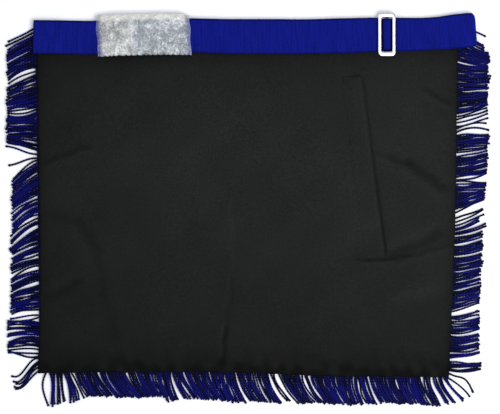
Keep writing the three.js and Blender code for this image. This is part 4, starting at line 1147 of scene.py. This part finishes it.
def make_belt(name, node, corners):
    """Webbing with soft edges along a side view, sagging a little between its fittings."""
    path = filled(rounded(corners), BELT_STEP)
    ahead = np.gradient(path, axis=0)
    ahead = ahead / np.linalg.norm(ahead, axis=1)[:, None]
    steps = np.linalg.norm(np.diff(path, axis=0), axis=1)
    length = np.concatenate([[0], np.cumsum(steps)])
    lobes = boxy(np.linspace(-1, 1, 13), 0.7)
    thick = BELT_THICKNESS / 2 * (1 - 0.75 * np.abs(lobes) ** 10)
    section = np.array([*zip(lobes, -thick), *zip(lobes[::-1], thick[::-1])])
    x, z = path.T
    slope = belt_slope(x)
    side_x, side_y = np.stack([-slope, np.ones_like(x)]) / np.sqrt(1 + slope**2)
    free = 1 - hump(x - SLIDER_MIDDLE, 16)
    free = free * smoothstep(np.abs(x - SLEEVE_MIDDLE), SLEEVE_LENGTH / 2, SLEEVE_LENGTH / 2 + 12)
    drift = 0.12 * ripples(x, 0, 70, 11, 4) * free
    lift = np.clip(0.22 * (1 + ripples(x, 0, 46, 12, 4)) * free, 0, 0.6)
    reach = belt_half(x) + 0.12 * ripples(x, 0, 30, 13, 3) * free
    end = fade(np.abs(x - RIGHT_FOLD), 7)
    rings = np.empty((len(x), len(section), 3))
    for k, (w, t) in enumerate(section):
        slant = (0.7 - 0.5 * w - 2.2 * max(w, 0) ** 8) * end
        curl = 0.16 * abs(w) ** 3 * free
        rings[:, k, 0] = x + slant + side_x * w * reach - t * ahead[:, 1]
        rings[:, k, 1] = belt_middle(x) + drift + side_y * w * reach + 1.6 * max(-w, 0) * end
        rings[:, k, 2] = z + lift + curl + t * ahead[:, 0]
    across = np.tile(section[:, 0] * BELT_WIDTH / 2, len(x))
    uv = np.stack([np.repeat(length, len(section)), across], -1) / 1000
    piece = make_piece(name, *closed_loft(rings), webbing, uv=uv)
    finish_piece(piece, "belt_webbing", node)


# Slider


def rounded_outline(width, height, radius, corner_steps=7, side_steps=8):
    """Points round a rectangle with round corners, the same number for every size."""
    corners = []
    for right, up, start in [(1, -1, -90), (1, 1, 0), (-1, 1, 90), (-1, -1, 180)]:
        turns = np.radians(start + np.linspace(0, 90, corner_steps + 1))
        x = right * (width / 2 - radius) + radius * np.cos(turns)
        y = up * (height / 2 - radius) + radius * np.sin(turns)
        corners.append(np.column_stack([x, y]))
    points = []
    for here, after in zip(corners, corners[1:] + corners[:1]):
        points += [here, np.linspace(here[-1], after[0], side_steps + 1)[1:-1]]
    return np.concatenate(points)


def soft_box(width, height, thickness, middle_z):
    """A bar with rounded long edges, as rings along its height."""
    section = rounded_outline(width, thickness, min(0.35 * thickness, width / 2.1), 3, 2)
    ends = (-height / 2, height / 2)
    return np.array([[(u, y, middle_z + v) for u, v in section] for y in ends])


def make_slider():
    """The slide's frame, round in section, with its hidden bar on two posts."""
    trim = 2 * SLIDER_TRIM
    outer = rounded_outline(SLIDER_WIDTH - trim, SLOT_LENGTH + 2 * SLIDER_END - trim, SLIDER_CORNER)
    inner = rounded_outline(SLIDER_OPENING + trim, SLOT_LENGTH + trim, SLOT_CLEARANCE * 1.4)
    middle_z = SLIDER_BASE + SLIDER_THICKNESS / 2
    turns = np.linspace(0, 2 * math.pi, 20, endpoint=False)
    outward, upward = boxy(np.cos(turns), 0.75), boxy(np.sin(turns), 0.75)
    rings = []
    for share, high in zip((1 + outward) / 2, middle_z + upward * SLIDER_THICKNESS / 2):
        rings.append(np.column_stack([inner + (outer - inner) * share, np.full(len(inner), high)]))
    count = len(rings) * len(inner)
    faces = grid_faces(len(rings) + 1, len(inner), around=True, flip=True) % count
    points, faces = [np.concatenate(rings)], faces.tolist()
    bar_z = BAR_TOP - SLIDER_BAR_THICKNESS / 2
    bars = [soft_box(SLIDER_BAR, SLOT_LENGTH + 0.9 * SLIDER_END, SLIDER_BAR_THICKNESS, bar_z)]
    for side in (-1, 1):
        post = soft_box(SLIDER_BAR, 0.4 * SLIDER_END, middle_z - bar_z, (middle_z + bar_z) / 2)
        post[:, :, 1] += side * (SLOT_LENGTH / 2 + 0.3 * SLIDER_END)
        bars.append(post)
    for bar in bars:
        start = sum(len(p) for p in points)
        bar_points, bar_faces = closed_loft(bar)
        points.append(bar_points)
        faces += [[start + k for k in face] for face in bar_faces]
    points = np.concatenate(points) + (SLIDER_MIDDLE, belt_middle(SLIDER_MIDDLE), 0)
    piece = make_piece("slide_frame", points, faces, metal)
    finish_piece(piece, "bright_metal", "belt_slider")


# Sleeve of film


def film_detail(x, across, fold, seam):
    """How far the film's bubbles, creases and overlap stand out."""
    bubbles = np.cos(2 * math.pi * x / BUBBLE_PITCH) * np.cos(2 * math.pi * across / BUBBLE_PITCH)
    broad = np.clip(1 - np.abs(ripples(x + 5 * fold, across, 13, 21, 5)), 0, 1)
    small = np.clip(1 - np.abs(ripples(x, across * 1.3, 5.2, 22, 6)), 0, 1)
    overlap = 0.55 * smoothstep(-seam, -1.2, 0.6) + 0.8 * hump(seam, 1.5)
    return 0.35 * np.clip(bubbles, -0.4, 1) + 0.55 * broad**3 + 0.3 * small**2 + overlap


def film_values(along, across, y, seam):
    """What the film's material reads: its layers, where it is warm, where it gets painted light past
    the belt, and where it is white, partly a painted highlight.
    """
    from_mouth = np.minimum(along, 1 - along) * SLEEVE_LENGTH
    lip = 0.16 + 0.14 * smoothstep(along, 0.3, 0.7)
    layers = lip + (0.97 - lip) * smoothstep(from_mouth, 1 + 1.4 * along, 7 - 1.8 * along)
    # Painted light: paler where the film hangs past the belt, over the table
    pale = smoothstep(across, BELT_WIDTH / 2 - 4.5, BELT_WIDTH / 2 + 0.5)
    pale = pale * (1 - 0.5 * smoothstep(along, 0.93, 0.98))
    # Whiter where the film lies doubled at its lower left and along its seam: partly its milky layers,
    # partly a painted highlight
    doubled = smoothstep(-y, 0.25, 0.45) * between(along, 0.03, 0.08, 0.3, 0.36)
    return {
        "film_layers": both_faces(layers),
        "film_warmth": both_faces(smoothstep(-seam, -2, 2)),
        "film_painted_light": both_faces(pale),
        "film_white_and_highlight": both_faces(np.maximum(0.6 * doubled, 0.5 * hump(seam - 0.5, 2.4))),
    }


def make_sleeve():
    """Bubble film wrapped round the clasp, crushed and puckered, and open at both ends."""
    along = np.linspace(0, 1, FILM_STEPS[0])
    turns = np.linspace(0, 2 * math.pi, FILM_STEPS[1], endpoint=False)
    along, turns = np.meshgrid(along, turns, indexing="ij")
    x = SLEEVE_LEFT + along * SLEEVE_LENGTH
    y, z = boxy(np.cos(turns), 0.36), boxy(np.sin(turns), 0.36)
    full = np.interp(along, [0, 0.05, 0.2, 0.9, 0.96, 1], [0, 0.45, 1, 1, 0.5, 0])
    mouth = UNDER_CLASP + BELT_THICKNESS / 2 + 2 * GAP + along * (BELT_THICKNESS / 2 + GAP)
    crown = OVER_CLASP + BELT_THICKNESS / 2 + 2 * GAP
    ceiling = mouth + (crown - mouth) * full
    half = max(CLASP_WIDTH, BELT_WIDTH) / 2 + GAP
    spare = SLEEVE_SPARE * (1 - 0.6 * smoothstep(along, 0.93, 0.97))
    across = y * (half + np.where(y > 0, spare, 0))
    skew = -0.06 * y * half
    beat = x + 1.6 * ripples(x, 0, 24, 26, 4)
    scallops = np.abs(np.cos(2 * math.pi * beat / BUBBLE_PITCH)) ** 0.5 * smoothstep(-y, 0.2, 1)
    seam = x - (SLEEVE_LEFT + 0.37 * SLEEVE_LENGTH) - 0.5 * ripples(across, 0, 12, 23, 3)
    detail = smoothstep(z, -0.2, 0.9) * film_detail(x, across, np.sin(turns), seam)
    shift = 0.5 * ripples(across, 0, 14, 24, 4) * (2 * along - 1) ** 9

    def skin(wall):
        high = SLEEVE_FLOOR - wall + (ceiling - SLEEVE_FLOOR + 2 * wall) * (z + 1) / 2
        out = across + np.sign(y) * (wall + 1.1 * scallops * np.abs(y) ** 8)
        return np.stack([x + skew + shift, belt_middle(x + skew) + out, high + detail], -1)

    tube = closed_tube(skin(FILM_WALL), skin(0))
    piece = make_piece("film_sleeve", *tube, film, **film_values(along, across, y, seam))
    finish_piece(piece, "bubble_film", "clasp_sleeve")


# Fringe and stitches, which Geometry Nodes draw along guide lines


def guide_lines(name, lines, values):
    """A mesh of loose lines, one for each list of points, with a value for each point."""
    edges, start = [], 0
    for line in lines:
        edges += [(start + k, start + k + 1) for k in range(len(line) - 1)]
        start += len(line)
    mesh = bpy.data.meshes.new(name)
    mesh.from_pydata(world(np.concatenate(lines)).tolist(), edges, [])
    return mesh_object(name, mesh, values)


def new_tree(name, **inputs):
    """A Geometry Nodes tree that draws along lines, with those inputs, and its ends."""
    tree = bpy.data.node_groups.new(name, "GeometryNodeTree")
    for label, kind in {"Lines": "Geometry", **inputs}.items():
        tree.interface.new_socket(label, in_out="INPUT", socket_type=f"NodeSocket{kind}")
    tree.interface.new_socket("Pieces", in_out="OUTPUT", socket_type="NodeSocketGeometry")
    return tree, tree.nodes.new("NodeGroupInput").outputs, tree.nodes.new("NodeGroupOutput").inputs


def end_tree(tree, geometry, material_input, sink):
    """Smooth shading, real instances and the material, as every tree ends."""
    smooth = add(tree, "GeometryNodeSetShadeSmooth", {0: geometry})[0]
    real = add(tree, "GeometryNodeRealizeInstances", {0: smooth})[0]
    painted = add(tree, "GeometryNodeSetMaterial", {0: real, 2: material_input})[0]
    tree.links.new(painted, sink[0])


def stored(tree, geometry, name, value, kind="FLOAT_VECTOR"):
    """The geometry, with a value kept on its points under that name."""
    inputs = {"Geometry": geometry, "Name": name, "Value": value}
    return add(tree, "GeometryNodeStoreNamedAttribute", inputs, data_type=kind, domain="POINT")[0]


def named(tree, name, kind="FLOAT"):
    return add(tree, "GeometryNodeInputNamedAttribute", {"Name": name}, data_type=kind)[0]


def cord_tree():
    """Sweeps a round section along every line, and keeps the place round and along each cord."""
    tree, source, sink = new_tree(
        "cords_along_lines",
        Radius="Float",
        Twist="Float",
        Swell="Float",
        Sides="Int",
        Steps="Int",
        Material="Material",
    )
    curves = add(tree, "GeometryNodeMeshToCurve", {0: source["Lines"]})[0]
    steps = {"Curve": curves, "Count": source["Steps"]}
    even = add(tree, "GeometryNodeResampleCurve", steps, mode="COUNT")[0]
    along = add(tree, "GeometryNodeSplineParameter")["Length"]
    kept = stored(tree, even, "along", along, "FLOAT")
    sides = {"Resolution": source["Sides"], "Radius": 1.0}
    ring = add(tree, "GeometryNodeCurvePrimitiveCircle", sides)[0]
    ring = stored(tree, ring, "round", add(tree, "GeometryNodeInputPosition")[0])
    turns = times(tree, math_node(tree, "DIVIDE", along, source["Twist"]), 2 * math.pi)
    swell = times(tree, math_node(tree, "SINE", turns), source["Swell"], 1.0)
    radius = times(tree, times(tree, named(tree, "cord_thick"), source["Radius"]), swell)
    sweep = {"Curve": kept, "Profile Curve": ring, "Scale": radius, "Fill Caps": True}
    swept = add(tree, "GeometryNodeCurveToMesh", sweep)[0]
    sideways, upward, _ = parts_of(tree, named(tree, "round", "FLOAT_VECTOR"))
    turn = {0: sideways, 1: upward, 2: named(tree, "along")}
    marked = stored(tree, swept, "cord_turn", add(tree, "ShaderNodeCombineXYZ", turn)[0])
    end_tree(tree, marked, source["Material"], sink)
    return tree


def stitch_tree():
    """Sets a stitch at every pitch along every line, lying along it."""
    tree, source, sink = new_tree(
        "stitches_along_lines", Pitch="Float", Stitch="Vector", Material="Material"
    )
    curves = add(tree, "GeometryNodeMeshToCurve", {0: source["Lines"]})[0]
    pitch = {"Curve": curves, "Length": source["Pitch"]}
    even = add(tree, "GeometryNodeResampleCurve", pitch, mode="LENGTH")[0]
    seed = add(tree, "GeometryNodeMeshUVSphere", {"Segments": 6, "Rings": 5, "Radius": 0.5})[0]
    tangent = {"Vector": add(tree, "GeometryNodeInputTangent")[0]}
    turned = add(tree, "FunctionNodeAlignRotationToVector", tangent, axis="X")[0]
    stitches = {"Points": even, "Instance": seed, "Rotation": turned, "Scale": source["Stitch"]}
    placed = add(tree, "GeometryNodeInstanceOnPoints", stitches)[0]
    end_tree(tree, placed, source["Material"], sink)
    return tree


def drawn_piece(piece, tree, **inputs):
    """Runs a tree on guide lines and keeps the mesh that it makes."""
    modifier = piece.modifiers.new("drawn", "NODES")
    modifier.node_group = tree
    sockets = {s.name: s.identifier for s in tree.interface.items_tree if s.in_out == "INPUT"}
    for label, value in inputs.items():
        modifier[sockets[label]] = value
    graph = bpy.context.evaluated_depsgraph_get()
    made = bpy.data.meshes.new_from_object(piece.evaluated_get(graph))
    made.name = piece.name
    guide = piece.data
    piece.modifiers.remove(modifier)
    piece.data = made
    bpy.data.meshes.remove(guide)


def left_edge(share, inside=0.0):
    return np.array(body_point(inside / BODY_WIDTH, 1 - share))


def bottom_edge(share, inside=0.0):
    return np.array(body_point(share, inside / BODY_HEIGHT))


def right_edge(share, inside=0.0):
    return np.array(body_point(1 - inside / BODY_WIDTH, 1 - share))


def cord_line(edge, share, drift, bow, sway, reach, rng, layer):
    """One cord: out of the seam, down to the table and away, with its own small bends."""
    root = edge(share)
    ahead = edge(min(share + 0.002, 1)) - edge(max(share - 0.002, 0))
    ahead = ahead / np.linalg.norm(ahead)
    out = root - edge(share, 1.0)
    out = out / np.linalg.norm(out)
    t = np.array([-0.07, 0.0, 0.07, 0.15, 0.25, 0.36, 0.48, 0.6, 0.72, 0.83, 0.92, 0.965, 1.0])
    s = np.maximum(t, 0)
    bow = bow + rng.normal(0, 0.35)
    sway = sway + rng.normal(0, 0.35)
    hook = rng.normal(0, 0.4)
    sideways = drift * s + 4 * bow * s * (1 - s) + sway * np.sin(2 * math.pi * s) + hook * s**5
    root_z = HEADING_BASE + HEADING_THICKNESS * rng.uniform(0.35, 0.7)
    floor_z = CORD_RADIUS * (1.05 + 1.5 * layer) + rng.uniform(0, 0.3)
    z = root_z + (floor_z - root_z) * smoothstep(t, 0.0, 0.3 + 0.15 * layer)
    z = z + rng.uniform(0, 0.5) * np.exp(-(((t - rng.uniform(0.35, 0.9)) / 0.2) ** 2))
    flat = root + np.outer(reach * t, out) + np.outer(sideways, ahead)
    return np.column_stack([flat, z])


def fringe_lines(edge, length, locks, seed):
    """All the cords of one edge, lock by lock. A close lock has more cords underneath."""
    rng = np.random.default_rng(seed)
    spare = CORD_RADIUS + GAP
    lines, shades, thicks = [], [], []
    for start, end, pitch, drift_start, drift_end, bow, reach, *curl in locks:
        spaces = round((end - start) / pitch)
        close = pitch < 2.9 and spaces > 0
        tone = rng.uniform(0.35, 0.6) if close else rng.uniform(0.0, 0.2)
        places = [(k / max(spaces, 1), 1 if close else 0) for k in range(spaces + 1)]
        under = rng.uniform(0.9, 1.2) if close else 0.1
        places += [((k + 0.5) / spaces, 0) for k in range(spaces) if rng.random() < under]
        for share_in, layer in places:
            share_in = float(np.clip(share_in + rng.normal(0, 0.12) / max(spaces, 1), 0, 1))
            along = np.clip(start + (end - start) * share_in, spare, length - spare)
            stray = 0.5 if layer or not close else 1.0
            drift = drift_start + (drift_end - drift_start) * share_in + rng.normal(0, stray)
            far = reach * (1 + rng.normal(0, 0.024)) - (0.8 if close and layer == 0 else 0)
            sway = curl[0] if curl else 0
            line = cord_line(edge, along / length, drift, bow, sway, far, rng, layer)
            lines.append(line)
            shade = np.full(len(line), tone + rng.normal(0, 0.22))
            # Painted shade on the cords underneath and at the roots by the seam; the tips are darker
            # too
            shade = shade - (0.6 if close and layer == 0 else 0)
            shade[:5] -= 0.3
            shade[-3:] -= np.array([0.1, 0.35, 0.45])
            shades.append(np.clip(shade, 0, 1))
            thick = np.full(len(line), rng.uniform(0.92, 1.06) * (0.97 if close else 1))
            thick[-3:] *= np.array([1.0, 1.3, 1.2])
            thicks.append(thick)
    return lines, {"cord_shade": np.concatenate(shades), "cord_thick": np.concatenate(thicks)}


def make_fringe(name, node, edge, locks, seed, tree):
    length = float(np.linalg.norm(edge(1) - edge(0)))
    lines, values = fringe_lines(edge, length, locks, seed)
    piece = guide_lines(name, lines, values)
    drawn_piece(
        piece,
        tree,
        Radius=CORD_RADIUS / 1000,
        Twist=CORD_TWIST / 1000,
        Swell=CORD_SWELL,
        Sides=CORD_SIDES,
        Steps=CORD_STEPS,
        Material=cord,
    )
    finish_piece(piece, "fringe_cord", node)


def make_heading(name, edge, mitre_start, mitre_end):
    """The woven band that the cords hang from, sewn in between the front and the lining."""
    rows = []
    for inside in np.linspace(0.25, HEADING_WIDTH, HEADING_STEPS[0]):
        shares = np.linspace(inside * mitre_start, 1 - inside * mitre_end, HEADING_STEPS[1])
        rows.append([edge(share, inside) for share in shares])
    x, y = np.moveaxis(rows, -1, 0)
    points, faces = closed_sheet(x, y, HEADING_TOP - 0.08, HEADING_BASE + 0.08)
    piece = make_piece(name, points, faces, cord)
    first, second, third = points[faces[0][:3]]
    if np.cross(second - first, third - first)[2] < 0:
        piece.data.flip_normals()
    finish_piece(piece, "fringe_cord")


def make_stitches(tree):
    """Lines of black stitches along the pocket's lower seam and at the ends of the welt."""
    half = POCKET_OPENING / 2
    over_welt = WELT_THICKNESS + 0.1
    seams = [
        ((half + 1, -WELT_WIDTH - 17), (half - 1, -WELT_WIDTH), 0.04),
        ((half + 2, 1), (half + 6, 20), 0.04),
        ((-half - 0.6, 1 - WELT_WIDTH), (-half - 0.6, -1.2), over_welt),
        ((half + 0.6, 1 - WELT_WIDTH), (half + 0.6, -1.2), over_welt),
    ]
    lines = []
    for start, end, high in seams:
        line = filled(np.array([pocket_point(*start), pocket_point(*end)]), STITCH_STEP)
        lines.append(np.column_stack([line, lining_height(*line.T) + high]))
    piece = guide_lines("black_stitches", lines, {})
    drawn_piece(
        piece,
        tree,
        Pitch=STITCH_PITCH / 1000,
        Stitch=(STITCH_LENGTH / 1000, STITCH_WIDTH / 1000, STITCH_WIDTH / 1400),
        Material=thread,
    )
    finish_piece(piece, "lining_cloth")


# Camera, light and floor


def make_camera():
    """Straight down, with a view that is VIEW_WIDTH wide at VIEW_LEVEL."""
    data = bpy.data.cameras.new("camera")
    data.sensor_width = SENSOR_WIDTH
    data.lens = SENSOR_WIDTH * CAMERA_DISTANCE / VIEW_WIDTH
    camera = link("camera", data)
    camera.location = Vector((*CAMERA_PLACE, VIEW_LEVEL + CAMERA_DISTANCE)) / 1000
    bpy.context.scene.camera = camera


def make_light(name, place, target, size, power, colour):
    data = bpy.data.lights.new(name, "AREA")
    data.shape = "DISK"
    data.size = size
    data.energy = power
    data.color = colour
    light = link(name, data)
    light.location = place
    light.rotation_mode = "QUATERNION"
    light.rotation_quaternion = (Vector(target) - Vector(place)).to_track_quat("-Z", "Y")


def make_studio():
    scene = bpy.context.scene
    scene.view_settings.view_transform = "Standard"
    scene.view_settings.look = "None"
    sky = bpy.data.worlds.new("soft_white")
    sky.use_nodes = True
    background = sky.node_tree.nodes["Background"].inputs
    background["Color"].default_value = SKY_COLOUR
    background["Strength"].default_value = SKY_STRENGTH
    scene.world = sky
    for name, settings in LIGHTS.items():
        make_light(name, *settings)
    side, drop = TABLE_REACH / 1000, -FLOOR_DROP / 1000
    mesh = bpy.data.meshes.new("floor")
    corners = [(-side, -side, drop), (side, -side, drop), (side, side, drop), (-side, side, drop)]
    mesh.from_pydata(corners, [], [(0, 1, 2, 3)])
    mesh.materials.append(table_top)
    floor = link("floor", mesh)


def dress_node(name, material):
    """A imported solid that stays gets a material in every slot."""
    node = frame["nodes"][name]
    node.data.materials.clear()
    node.data.materials.append(material)


make_camera()
make_studio()
make_front()
make_lining()
make_welt()
make_belt("belt_left_webbing", "belt_left", LEFT_BELT_PATH)
make_belt("belt_right_webbing", "belt_right", RIGHT_BELT_PATH)
make_slider()
make_sleeve()
cords = cord_tree()
make_fringe("fringe_left_cords", "fringe_left", left_edge, LEFT_LOCKS, 31, cords)
make_fringe("fringe_bottom_cords", "fringe_bottom", bottom_edge, BOTTOM_LOCKS, 32, cords)
make_fringe("fringe_right_cords", "fringe_right", right_edge, RIGHT_LOCKS, 33, cords)
make_heading("fringe_left_heading", left_edge, 0, 1 / BODY_HEIGHT)
make_heading("fringe_bottom_heading", bottom_edge, 1 / BODY_WIDTH, 1 / BODY_WIDTH)
make_heading("fringe_right_heading", right_edge, 0, 1 / BODY_HEIGHT)
make_stitches(stitch_tree())
dress_node("belt_clasp", metal)
dress_node("pocket_bag", bag_cloth)
